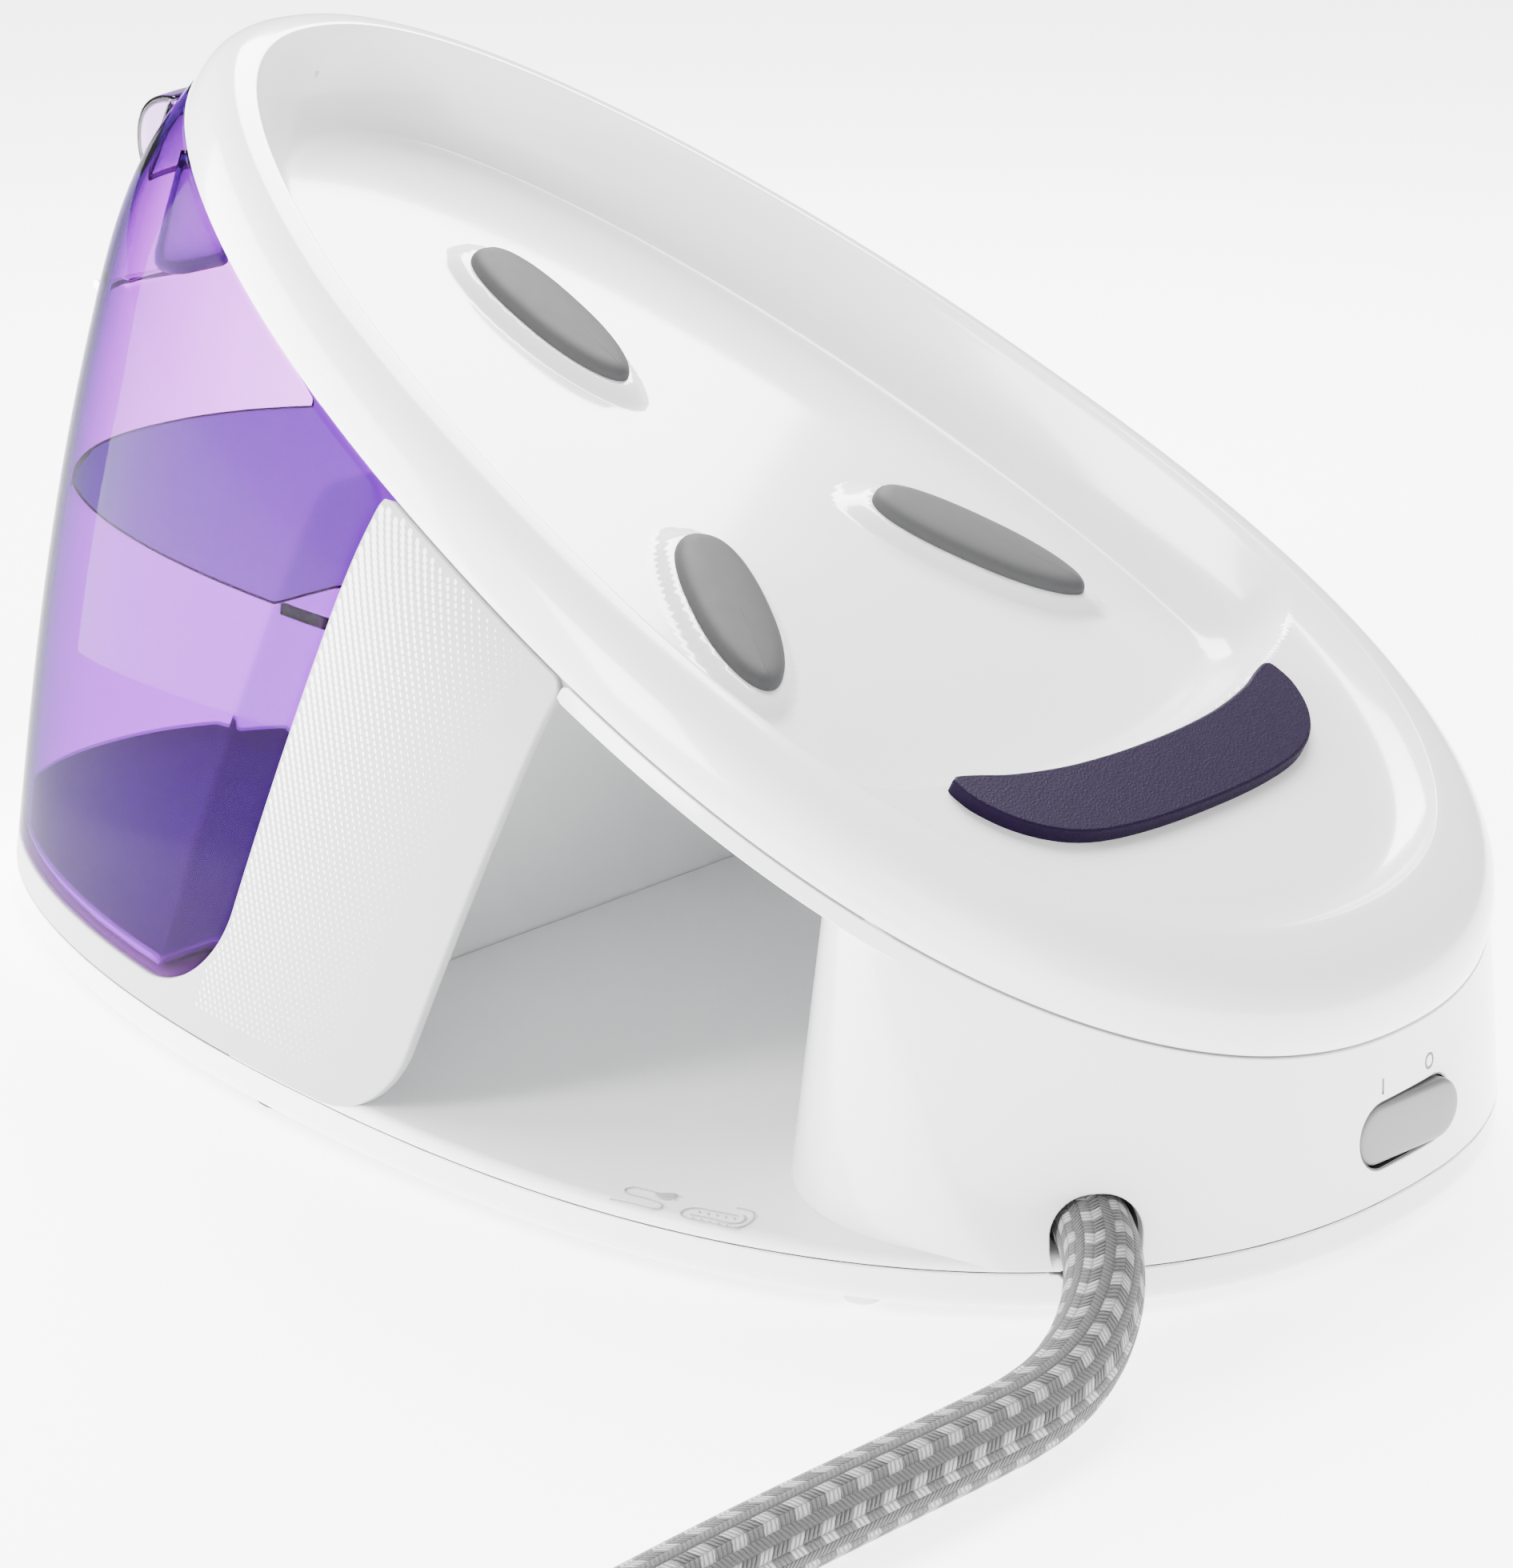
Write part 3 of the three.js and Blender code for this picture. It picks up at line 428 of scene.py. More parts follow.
def wall_points(t, h, inset=0.0):
    x0, y0 = outline(BASE, t, inset, inset)
    x1, y1 = outline(COVER, t, inset, inset)
    e = 0.001
    ax, ay = outline(BASE, t + e)
    bx, by = outline(BASE, t - e)
    nx, ny = ay - by, bx - ax
    size = np.hypot(nx, ny)
    low = np.sin(math.pi / 2 * h / SWELL_PEAK)
    high = 1 - (np.abs(h - SWELL_PEAK) / (1 - SWELL_PEAK)) ** 3.5
    swell = SWELL * ((1 - np.cos(t)) / 2) ** 2 * np.where(h < SWELL_PEAK, low, high)
    return np.stack([
        x0 + (x1 - x0) * h + nx / size * swell,
        y0 + (y1 - y0) * h + ny / size * swell,
        HOUSING_BOTTOM + (cover_plane(x1) - HOUSING_BOTTOM) * h,
    ], -1)


def surface_of(points):
    """A surface with its normals, from a function of the wall's angle t and of a height h from 0 to 1."""
    def surface(t, h):
        e = 0.002
        dt = points(t + e, h) - points(t - e, h)
        dh = points(t, h + e) - points(t, h - e)
        return points(t, h), unit(np.cross(dt, dh))
    return surface


wall = surface_of(wall_points)


def find_wall(value, z, side=-1.0, axis=0, inset=0.0):
    """Wall angle and height where the wall has this X (or Y, for axis 1) and this Z.
    side is the sign of Y when X is given."""
    value = np.asarray(value, float)
    if axis == 0:
        t = np.arccos(np.clip(value / 190.0, -0.98, 0.98)) * side
        near = value
    else:
        t = value / 110.0
        near = np.full(value.shape, 179.0)
    h = np.clip((z - HOUSING_BOTTOM) / (cover_plane(near) - HOUSING_BOTTOM), 0.0, 1.0)
    for _ in range(25):  # damped Newton steps
        p = wall_points(t, h, inset)
        ex, ez = value - p[..., axis], z - p[..., 2]
        e = 1e-4
        pt = (wall_points(t + e, h, inset) - p) / e
        ph = (wall_points(t, h + e, inset) - p) / e
        det = pt[..., axis] * ph[..., 2] - ph[..., axis] * pt[..., 2]
        det = np.where(np.abs(det) < 1e-6, 1e-6, det)
        t = t + 0.9 * np.clip((ex * ph[..., 2] - ph[..., axis] * ez) / det, -0.3, 0.3)
        h = h + 0.9 * np.clip((pt[..., axis] * ez - ex * pt[..., 2]) / det, -0.3, 0.3)
    return t, h


def half_width(P):
    """How far from the middle the wall stands at this X and Z."""
    t, h = find_wall(P[:, 0], P[:, 2])
    return np.abs(wall_points(t, h)[:, 1])


def corner(a, b, r):
    """Distance inside a corner of two edges, with the corner rounded."""
    u, v = np.maximum(r - a, 0), np.maximum(r - b, 0)
    return np.maximum(r, np.minimum(a, b)) - np.hypot(u, v)


TANK_LEAN = 0.391  # shift towards +X for each unit of height
PANEL_LEAN = 0.387
RIB_LEAN = 0.4286


def tank_edge(z):
    return -28.2 + TANK_LEAN * (z - 40)


def panel_edge(z):
    return 22 + PANEL_LEAN * (z - HOUSING_BOTTOM)


def bay_rear(z):
    return -28 + PANEL_LEAN * (z - 13)


EDGE_COS = math.cos(math.atan(0.39))
TANK_FLOOR = 17.3
TANK_CORNER = 22.0
PANEL_CORNER = 16.5
LINE = 0.13  # half of a parting line's width


def in_tank(P):
    return corner((tank_edge(P[:, 2]) - P[:, 0]) * EDGE_COS, P[:, 2] - TANK_FLOOR, TANK_CORNER)


def in_rear_part(P):
    return corner((panel_edge(P[:, 2]) - P[:, 0]) * EDGE_COS, P[:, 2] - HOUSING_BOTTOM, PANEL_CORNER)


FAR_OUT = -99.0  # distance given where an opening doesn't apply
HOLE = np.array([159.0, -64.0])
HEADING = math.radians(-41)
ARCH_HALF = 8.3
ARCH_TOP = 23.9
ARCH_FOOT = 6.9
ARCH_CORNER = 7.5
TANGENT = np.array([-math.sin(HEADING), math.cos(HEADING)])


def hose_arch(P, top=ARCH_TOP):
    """Distance inside the hose's opening."""
    s = (P[:, :2] - HOLE) @ TANGENT
    inside = corner(ARCH_HALF - np.abs(s), np.minimum(top - P[:, 2], P[:, 2] - ARCH_FOOT), ARCH_CORNER)
    return np.where((P[:, 0] > 130) & (P[:, 1] < -30), inside, FAR_OUT)


SWITCH_Z = 23.0
SWITCH_Y = 1.5
SWITCH_RADIUS = 6.5  # of the opening's round ends
SWITCH_STRAIGHT = 8.6  # half the opening's length between them


def switch_opening(P):
    aside = np.maximum(np.abs(P[:, 1] - SWITCH_Y) - SWITCH_STRAIGHT, 0)
    return np.where(P[:, 0] > 150, SWITCH_RADIUS - np.hypot(aside, P[:, 2] - SWITCH_Z), FAR_OUT)


STRIP = 3.3  # height of the band over the bay, square to the cover plane
STRIP_END = 128.0
TURN_END = -2.1  # the wall's parameter where the turned part ends at the bay's far wall
BAY_FAR = 64.0  # Y of the bay's far wall


def front_points(t, h):
    """The front housing's wall. Beside the bay it turns inwards and runs on as the bay's front wall."""
    turn_at = -0.631 - 0.27 * h
    start = wall_points(turn_at, h)
    along = unit(wall_points(turn_at - 1e-3, h)[..., :2] - start[..., :2])
    inward = np.stack([along[..., 1], -along[..., 0]], -1)
    radius = 38.2 - 18.5 * h - 2.8 * h * h  # the turn is wider at the foot
    facing = np.arccos(np.clip(along[..., 1], -1, 1))
    # The turn ends where the wall faces straight along Y, and the rest of it runs to the bay's far wall.
    arc = along[..., 1] * np.sin(facing) + inward[..., 1] * (1 - np.cos(facing))
    total = radius * facing + BAY_FAR - (start[..., 1] + radius * arc)
    reach = total * np.maximum(turn_at - t, 0) / (turn_at - TURN_END)
    angle = np.minimum(reach / radius, facing)
    rest = reach - angle * radius
    ahead = radius * np.sin(angle) + rest * np.cos(angle)
    aside = radius * (1 - np.cos(angle)) + rest * np.sin(angle)
    xy = start[..., :2] + along * ahead[..., None] + inward * aside[..., None]
    z = start[..., 2] + (cover_plane(xy[..., 0]) - cover_plane(start[..., 0])) * h
    turned = np.concatenate([xy, z[..., None]], -1)
    return np.where((t < turn_at)[..., None], turned, wall_points(t, h))


def in_outline(shape, inset):
    def inside(P):
        a, b = shape["a"] - inset, shape["b"] - inset
        x = (P[:, 0] - shape["centre"]) / a
        y = P[:, 1] / (b * (1 + shape["egg"] * np.clip(x, -1.2, 1.2)))
        return (1 - (np.abs(x) ** shape["n"] + np.abs(y) ** shape["n"]) ** (1 / shape["n"])) * b
    return inside


base_inside = in_outline(BASE, 0.0)


def in_front_part(P):
    deep = base_inside(P) - 0.17 * (P[:, 2] - HOUSING_BOTTOM)
    top = below_cover(P) - 2 * LINE - np.clip((deep - 8) * 1.2, 0, 11.5)
    return least(top, P[:, 2] - HOUSING_BOTTOM, -in_rear_part(P) - 2 * LINE, -switch_opening(P),
                 -hose_arch(P))


def in_strip(P):
    f = least(STRIP - below_cover(P), below_cover(P) - 2 * LINE,
              (P[:, 0] - panel_edge(P[:, 2])) * EDGE_COS - 2 * LINE, STRIP_END - P[:, 0])
    return np.where(P[:, 1] < 0, f, -9.0)


def in_rear_housing(P):
    return least(in_rear_part(P), below_cover(P) - 2 * LINE, -in_tank(P) - 2 * LINE)


FINE_H = np.linspace(0.0, 1.0, 90)
ALL_T = np.linspace(-math.pi, math.pi, 421)
# Panels are 2.4 mm thick unless they say otherwise.
panel("rear_housing_skin", wall, ALL_T, np.linspace(0.0, 1.0, 96), in_rear_housing, SATIN, 0.5,
      replaces=["rear_housing"])
panel("front_housing_skin", surface_of(front_points), np.linspace(TURN_END, math.pi * 0.78, 441), FINE_H,
      in_front_part, WHITE, 0.3, back=False, replaces=["front_housing"])
panel("front_strip", wall, np.linspace(-2.0, -0.7, 200), np.linspace(0.9, 1.0, 24), in_strip, WHITE, 0.2,
      back=False)

# ------------------------------------------------------------------ tray
TRAY_PROFILE = [(9, 3), (2.4, 3), (1.3, 3.2), (0.55, 3.7), (0.15, 4.6), (0, 5.8), (0, 7.5), (0, 9.2), (0, 10)]


def tray_points(t, k):
    k = np.clip(k, 0, len(TRAY_PROFILE) - 1)
    table = np.array(TRAY_PROFILE, float)
    inset = np.interp(k, np.arange(len(table)), table[:, 0])
    z = np.interp(k, np.arange(len(table)), table[:, 1])
    x, y = outline(BASE, t, inset, inset)
    return np.stack([x, y, z], -1)


def tray_surface(t, k):
    e = 0.004
    dt = tray_points(t + e, k) - tray_points(t - e, k)
    low, high = np.maximum(k - 0.3, 0), np.minimum(k + 0.3, len(TRAY_PROFILE) - 1)
    return tray_points(t, k), unit(np.cross(dt, tray_points(t, high) - tray_points(t, low)))


def in_tray(P):
    notch = hose_arch(P, 99.0)
    return np.minimum(10.0 - P[:, 2], -np.minimum(notch, P[:, 2] - 8.4))


panel("tray_skin", tray_surface, ALL_T, np.linspace(0, len(TRAY_PROFILE) - 1, 34), in_tray, WHITE, 0.4, 2.0,
      back=False)


def tray_screw(name, tip):
    """A pan-head screw seen from below, with a round drive hole."""
    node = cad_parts[name]
    box = np.array([node.matrix_world @ Vector(corner_point) for corner_point in node.bound_box]) / MM
    centre = np.append((box.min(0) + box.max(0))[:2] / 2, box.min(0)[2])
    profile = [(0, 1.1), (1.2, 1.1), (1.25, 0.15), (1.5, 0.0), (2.9, 0.05), (3.4, 0.3), (3.6, 0.8),
               (3.6, 1.9), (1.7, 2.0), (1.7, tip - 1.2), (1.2, tip), (0, tip)]
    c, s = np.cos(circle(32)), np.sin(circle(32))
    rings = np.array([np.stack([r * c, r * s, np.full(32, z)], -1) for r, z in profile])
    made = mesh_object(name.replace("tray_", "") + "_turned", rings + centre,
                       grid_faces(len(profile), 32, True), STEEL, smooth=False)
    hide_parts(name)


for number, tip in enumerate((14.0, 14.0, 14.0, 9.4), 1):
    tray_screw(f"tray_screw_{number}", tip)

# ------------------------------------------------------------------ cover
RIM = np.array([(0, 0), (0.015, 1.6), (0.05, 3.6), (0.15, 7.2), (0.36, 10.8), (0.66, 13.1), (0.93, 13.85),
                (0.985, 13.8), (1.0, 13.5)])
INNER = (16.6, 11.4)
SHIFT = -2.1
SLOPING = dict(COVER, a=COVER["a"] / COS_TILT, centre=0.0)


def smooth_curve(xs, ys):
    """A monotone cubic through points, as a function."""
    xs, ys = np.asarray(xs, float), np.asarray(ys, float)
    d = np.diff(ys) / np.diff(xs)
    m = np.zeros(len(xs))
    same = d[:-1] * d[1:] > 0
    m[1:-1][same] = 2 * d[:-1][same] * d[1:][same] / (d[:-1][same] + d[1:][same])
    m[0], m[-1] = d[0], d[-1]

    def value(x):
        x = np.clip(x, xs[0], xs[-1])
        i = np.clip(np.searchsorted(xs, x) - 1, 0, len(xs) - 2)
        h = xs[i + 1] - xs[i]
        t = (x - xs[i]) / h
        return ((2 * t**3 - 3 * t**2 + 1) * ys[i] + (t**3 - 2 * t**2 + t) * h * m[i]
                + (-2 * t**3 + 3 * t**2) * ys[i + 1] + (t**3 - t**2) * h * m[i + 1])
    return value


def cover_ring(t, d):
    """Point of the cover's plan at a share d of the rim, or d - 1 millimetres inside its inner edge."""
    share = np.minimum(d, 1.0)
    extra = np.maximum(d - 1.0, 0)
    u, v = outline(SLOPING, t, INNER[0] * share + extra, INNER[1] * share + extra)
    return u + SHIFT * share, v


def inner_distance(u, v):
    """Distance inside the rim's inner edge, in the plan."""
    n, egg = SLOPING["n"], SLOPING["egg"]
    a0, b0 = SLOPING["a"] - INNER[0], SLOPING["b"] - INNER[1]
    x = u - SHIFT
    low, high = np.full(np.shape(u), -12.0), np.full(np.shape(u), b0 - 1.0)
    for _ in range(26):
        middle = (low + high) / 2
        a, b = a0 - middle, b0 - middle
        ratio = np.clip(x / a, -1.5, 1.5)
        g = np.abs(x / a) ** n + np.abs(v / (b * (1 + egg * ratio))) ** n
        low, high = np.where(g < 1, middle, low), np.where(g < 1, high, middle)
    return (low + high) / 2


def soft_min(a, b, k):
    return np.minimum(a, b) - np.maximum(k - np.abs(a - b), 0) ** 2 / (4 * k)


DISH_END = 94.0
DOCK_TOP = 10.8
DECK_UNDERSIDE = -11.6
UNDER_DECK = 11.7  # how far below the cover's plane the bay's walls end
dish_profile = smooth_curve([-1.4, 0, 1.5, 3.5, 6, 8.5, 11.5, 15, 20],
                            [18, 13.2, 8.6, 3.6, -0.8, -3.6, -5.3, -5.9, -6])
deck_profile = smooth_curve([-2, 0, 1.2, 2.6, 4.5, 7, 11, 18], [16, 13.2, 11.6, 10.3, 9.2, 8.5, 8.1, 8.0])
PADS = [(-67.5, -0.8, -2.0), (23.2, -36.8, -28.0), (24.5, 36.6, 29.0)]
PAD_HALF = (23.3, 8.4)


def pad_distance(u, v, pad):
    """Distance outside a pad's outline, in the plan. The low end is more pointed."""
    cu, cv, turn = pad
    c, s = math.cos(math.radians(turn)), math.sin(math.radians(turn))
    p, q = (u - cu) * c + (v - cv) * s, (v - cv) * c - (u - cu) * s
    p, q = p / PAD_HALF[0], q / PAD_HALF[1]
    power = 2.25 - 0.25 * np.clip(p, -1, 1)
    q = q / (1 - 0.07 * p)
    rho = (np.abs(p) ** power + np.abs(q) ** power) ** (1 / power)
    reach = np.hypot(p * PAD_HALF[0], q * PAD_HALF[1]) / np.maximum(rho, 1e-6)
    return (rho - 1) * PAD_HALF[1] * (0.55 + 0.45 * reach / PAD_HALF[0])


def cover_height(u, v):
    d = inner_distance(u, v)
    end = DISH_END + 3.0 - v * v / 320.0 - u
    dish = dish_profile(soft_min(d, end - 2.4, 9.0))
    w = soft_min(dish, deck_profile(d), 1.6)
    for pad in PADS:
        away = pad_distance(u, v, pad)
        skirt = -3.4 - 2.7 * np.clip((away - 0.5) / 2.0, 0, 1) ** 1.3 - 0.3 * np.maximum(away - 0.5, 0)
        w = np.where(away < 6, -soft_min(-w, -skirt, 0.7), w)
    return w


rim_share = smooth_curve(np.arange(len(RIM)), RIM[:, 0])
rim_height = smooth_curve(np.arange(len(RIM)), RIM[:, 1])


def to_row(u, v, w):
    c, s = math.cos(TILT), math.sin(TILT)
    return np.stack([COVER["centre"] + u * c + w * s, v, cover_plane(COVER["centre"]) - u * s + w * c], -1)


ROW_ORIGIN = to_row(0, 0, 0)
ROW_UP = to_row(0, 0, 1) - ROW_ORIGIN
ROW_DOWN = to_row(0, 0, -1) - ROW_ORIGIN


def from_row(P):
    """Cover frame's U and V of points."""
    x, z = P[:, 0] - COVER["centre"], P[:, 2] - cover_plane(COVER["centre"])
    return x * math.cos(TILT) - z * math.sin(TILT), P[:, 1]


def row_surface(w, normal):
    """A plane at a height over the cover's parting plane."""
    return lambda u, v: (to_row(u, v, np.full(len(u), w)), np.tile(normal, (len(u), 1)))


def cover_point(t, k):
    """k runs over the rim's section up to its inner edge, then inwards in millimetres."""
    last = len(RIM) - 1
    share = rim_share(np.minimum(k, last))
    extra = np.maximum(k - last, 0)
    u, v = cover_ring(t, share + extra)
    w = np.where(k <= last, rim_height(np.minimum(k, last)), cover_height(u, v))
    return to_row(u, v, w)


def top_cover():
    turns = 540
    t = np.linspace(-math.pi, math.pi, turns, endpoint=False) + 1e-4
    last = len(RIM) - 1
    ks = np.concatenate([np.linspace(0, last, 41), last + np.concatenate([
        np.arange(0.3, 3, 0.3), np.arange(3, 12, 0.75), np.arange(12, 75.6, 1.1), [75.9]])])
    K, T = np.meshgrid(ks, t, indexing="ij")
    rings = cover_point(T, K)
    normals = soft_grid(rings)
    inner = ks > last + 1.2
    u, v = cover_ring(T[inner], K[inner] - last + 1.0)
    e = 0.15
    du = (cover_height(u + e, v) - cover_height(u - e, v)) / (2 * e)
    dv = (cover_height(u, v + e) - cover_height(u, v - e)) / (2 * e)
    normals[inner] = unit(to_row(-du, -dv, np.ones(du.shape)) - ROW_ORIGIN)
    # The parting edge turns in under the rim.
    lip = []
    for drop, inset in [(0.22, 0.2), (0.3, 0.5), (0.3, 3.0)]:
        u, v = outline(SLOPING, t, inset, inset)
        lip.append(to_row(u, v, np.full(len(t), 0.3 - drop)))
    rings[0] = to_row(*outline(SLOPING, t, 0.05, 0.05), np.full(len(t), 0.3))
    rings = np.concatenate([lip[::-1], rings])
    down = np.tile(ROW_DOWN, (turns, 1))
    normals = np.concatenate([[down, down, unit(normals[0] + ROW_DOWN)], normals])
    faces = list(grid_faces(len(rings), turns, True))
    # The innermost ring is all but closed: its two sides are joined across the middle line.
    start = (len(rings) - 1) * turns
    half = turns // 2
    end = start + turns
    faces += [(start + i, start + i + 1, end - i - 1, end - i) for i in range(1, half - 1)]
    faces += [(start, start + 1, end - 1), (start + half - 1, start + half, start + half + 1)]
    made = mesh_object("cover_skin", rings, faces, WHITE, "base", unit(normals))
    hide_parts("top_cover")


top_cover()


def cover_seat():
    """The housing's upturned edge behind the parting line."""
    t = np.linspace(-math.pi * 0.62, math.pi * 0.62, 400)
    plan = outline(SLOPING, t, 0.9, 0.9)
    rings = np.array([to_row(*plan, np.full(len(t), w)) for w in (-3.0, -1.0, 1.0, 2.4)])
    keep = rings[0][:, 0] > tank_edge(cover_plane(rings[0][:, 0])) + 3
    rings = rings[:, keep]
    faces = grid_faces(4, rings.shape[1], False)
    mesh_object("cover_seat", rings, faces, SATIN, "base", soft_grid(rings, False))


cover_seat()


# ------------------------------------------------------------------ pads and dock
def dome(name, plan, levels, shader, replaces):
    """A domed pad: rings of a closed plan curve, each an inset and a height on the cover."""
    count = len(plan)
    side = np.roll(plan, -1, 0) - np.roll(plan, 1, 0)
    inward = unit(np.stack([-side[:, 1], side[:, 0]], -1))
    middle = plan.mean(0)
    rings = []
    for inset, w in levels:
        if inset < 3.5:
            ring = plan + inward * inset
        else:
            ring = middle + (plan + inward * 3.5 - middle) * (1 - (inset - 3.5) / 10.0)
        rings.append(to_row(ring[:, 0], ring[:, 1], np.full(count, float(w))))
    rings = np.array(rings)
    normals = soft_grid(rings)
    points = np.concatenate([rings.reshape(-1, 3), [rings[-1].mean(0)]])
    all_normals = np.concatenate([normals.reshape(-1, 3), [normals[-1].mean(0)]])
    faces = list(grid_faces(len(rings), count, True))
    start = (len(rings) - 1) * count
    faces += [(start + i, start + (i + 1) % count, len(points) - 1) for i in range(count)]
    made = mesh_object(name, points, faces, shader, "base", unit(all_normals))
    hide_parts(replaces)


PAD_LEVELS = [(1.2, -5.4), (0.05, -4.8), (0, -3.2), (0.1, -2.6), (0.45, -1.9), (1.0, -1.35), (1.8, -0.95),
              (2.7, -0.72), (3.5, -0.6), (5.5, -0.45), (8, -0.35), (10.5, -0.3), (12.5, -0.28)]
for number, (cu, cv, turn) in enumerate(PADS, 1):
    angle = circle(120)
    c, s = np.cos(angle), np.sin(angle)
    power = 2.25 - 0.25 * c
    scale = (np.abs(c) ** power + np.abs(s) ** power) ** (-1 / power)
    p, q = PAD_HALF[0] * c * scale, PAD_HALF[1] * s * scale * (1 - 0.07 * c * scale)
    ct, st = math.cos(math.radians(turn)), math.sin(math.radians(turn))
    plan = np.stack([cu + p * ct - q * st, cv + p * st + q * ct], -1)
    dome(f"pad_{number}", plan, PAD_LEVELS, PAD, f"rest_pad_{number}")


def closed_spline(points, count):
    """A smooth closed curve through points, evenly spaced."""
    pts = np.array(points, float)
    n = len(pts)
    ts = np.linspace(0, n, n * 40, endpoint=False)
    i = ts.astype(int)
    f = (ts - i)[:, None]
    p0, p1, p2, p3 = (pts[(i + k) % n] for k in (-1, 0, 1, 2))
    dense = 0.5 * ((2 * p1) + (p2 - p0) * f + (2 * p0 - 5 * p1 + 4 * p2 - p3) * f**2
                   + (3 * p1 - p0 - 3 * p2 + p3) * f**3)
    return even_points(dense, count, closed=True)[0]


def dock_plan():
    half = [(94.6, 0), (94.3, 12), (93.2, 24), (90.8, 36), (88.2, 43.5), (87.0, 47.6), (87.4, 49.4),
            (89.4, 49.8), (94, 49.3), (100, 46.2), (105, 41.2), (108.6, 34.5), (110.8, 25), (112.0, 10)]
    loop = half + [(u, -v) for u, v in reversed(half[1:])]
    return closed_spline(loop[::-1], 300)


def inside_loop(loop, u, v):
    """Distance inside a closed plan curve."""
    a, b = loop, np.roll(loop, -1, 0)
    q = np.stack([u, v], -1)[:, None]
    edge = b - a
    f = np.clip(((q - a) * edge).sum(-1) / (edge * edge).sum(-1), 0, 1)
    away = np.linalg.norm(q - (a + f[..., None] * edge), axis=-1).min(1)
    crosses = ((a[:, 1] > q[..., 1]) != (b[:, 1] > q[..., 1])) & (
        q[..., 0] < (b[:, 0] - a[:, 0]) * (q[..., 1] - a[:, 1]) / (b[:, 1] - a[:, 1] + 1e-12) + a[:, 0])
    return np.where(crosses.sum(1) % 2 == 1, away, -away)


def heel_dock():
    plan = dock_plan()
    panel("dock_plate", row_surface(DOCK_TOP, ROW_UP), np.arange(84, 115, 1.0), np.arange(-52, 52.5, 1.0),
          lambda P: inside_loop(plan, *from_row(P)), DOCK, 0.7, 2.6, back=False, replaces=["heel_dock"])


heel_dock()


# ------------------------------------------------------------------ bay
def plane_surface(origin, along, across):
    origin, along, across = (np.array(v, float) for v in (origin, along, across))
    normal = unit(np.cross(along, across))

    def surface(u, v):
        P = origin + u[:, None] * along + v[:, None] * across
        return P, np.tile(normal, (len(P), 1))
    return surface


near_edge = in_outline(BASE, 0.15)
BAY_TOP = 12.8
BAY_FLOOR_END = 156.0
FAR_WALL_END = 100.0


def in_bay_floor(P):
    return least(near_edge(P), P[:, 0] - bay_rear(BAY_TOP) + 1, BAY_FLOOR_END - P[:, 0], BAY_FAR - P[:, 1])


panel("bay_floor", plane_surface((0, 0, BAY_TOP), (1, 0, 0), (0, 1, 0)), np.arange(-36, 160, 2.0),
      np.arange(-108, 68, 2.0), in_bay_floor, BAY, 2.3, 0.2, back=False, replaces=["bay_liner"])


def under_deck(P):
    return below_cover(P) - UNDER_DECK


def in_bay(P):
    """Inside of the bay's rear wall, which keeps 3 mm from the outer wall."""
    near = P[:, 1] + half_width(P) - 3.0
    return least(near, under_deck(P), BAY_FAR - P[:, 1], P[:, 2] - BAY_TOP + 2)


panel("bay_rear_wall", plane_surface((bay_rear(0), 0, 0), (0, 1, 0), (PANEL_LEAN, 0, 1)),
      np.arange(-104, 68, 2.5), np.arange(8, 130, 2.5), in_bay, BAY, 0.5, 1.0, back=False)
panel("bay_far_wall", plane_surface((0, BAY_FAR, 0), (-1, 0, 0), (0, 0, 1)), np.arange(-114, 44, 2.5),
      np.arange(8, 130, 2.5),
      lambda P: least(under_deck(P), P[:, 2] - BAY_TOP + 2, P[:, 0] - bay_rear(P[:, 2]),
                      FAR_WALL_END - P[:, 0]),
      BAY, 0.5, 1.0, back=False)


def in_deck(P):
    d = inner_distance(*from_row(P))
    front_limit = 118 - 0.6 * np.clip(-P[:, 1] - 30, 0, 40)
    return least(d - 1, P[:, 0] - tank_edge(P[:, 2]) - 4, front_limit - P[:, 0])


panel("lower_deck_plate", row_surface(DECK_UNDERSIDE, ROW_DOWN), np.arange(-90, 110, 2.5)[::-1],
      np.arange(-86, 87, 2.5), in_deck, BAY, 0.5, 1.6, replaces=["lower_deck"])

# ------------------------------------------------------------------ tank
WATER_LEVEL = 100.0


def rib(z):
    """Where the tank's inner front wall stands."""
    return -56 + RIB_LEAN * (z - 22)


PIN = (-148.2, 136.4)
LID_REACH = 50.0
LID_HALF = 24.0
LID_LOW = 138.0


def in_lid(P, grow=0.0):
    reach = LID_REACH + grow - np.hypot(P[:, 0] - PIN[0], P[:, 2] - PIN[1])
    low = P[:, 2] - LID_LOW + 3 * grow
    f = np.minimum(corner(LID_HALF + grow - np.abs(P[:, 1]), low, 4.0), reach)
    return np.where(P[:, 0] < -60, f, FAR_OUT)


def in_tank_skin(P):
    return least(in_tank(P), below_cover(P) - 0.5, -in_lid(P, 0.5))


SKIN = 2.3
panel("tank_skin", wall, np.linspace(-math.pi, math.pi, 361), np.linspace(0.0, 1.0, 90), in_tank_skin, TANK,
      0.9, SKIN, body="tank", replaces=["water_tank"])


OUTLET = (76.0, 30.0)  # Y and Z of the outlet valve's axis


def tank_ring(z, inset, back_off):
    """A level of the tank's inside: along the wall from the far rib to the near one."""
    count = 96
    x = rib(z) - back_off
    (t_near, h_near), (t_far, _) = (find_wall(np.array([x]), z, side, 0, inset) for side in (-1, 1))
    t = np.linspace(float(t_near[0]) % (2 * math.pi), float(t_far[0]) % (2 * math.pi), count)
    h = np.full(count, float(h_near[0]))
    for _ in range(12):
        p = wall_points(t, h, inset)
        climb = (wall_points(t, h + 1e-4, inset) - p)[:, 2] / 1e-4
        h = h + (z - p[:, 2]) / climb
    return wall_points(t, h, inset)


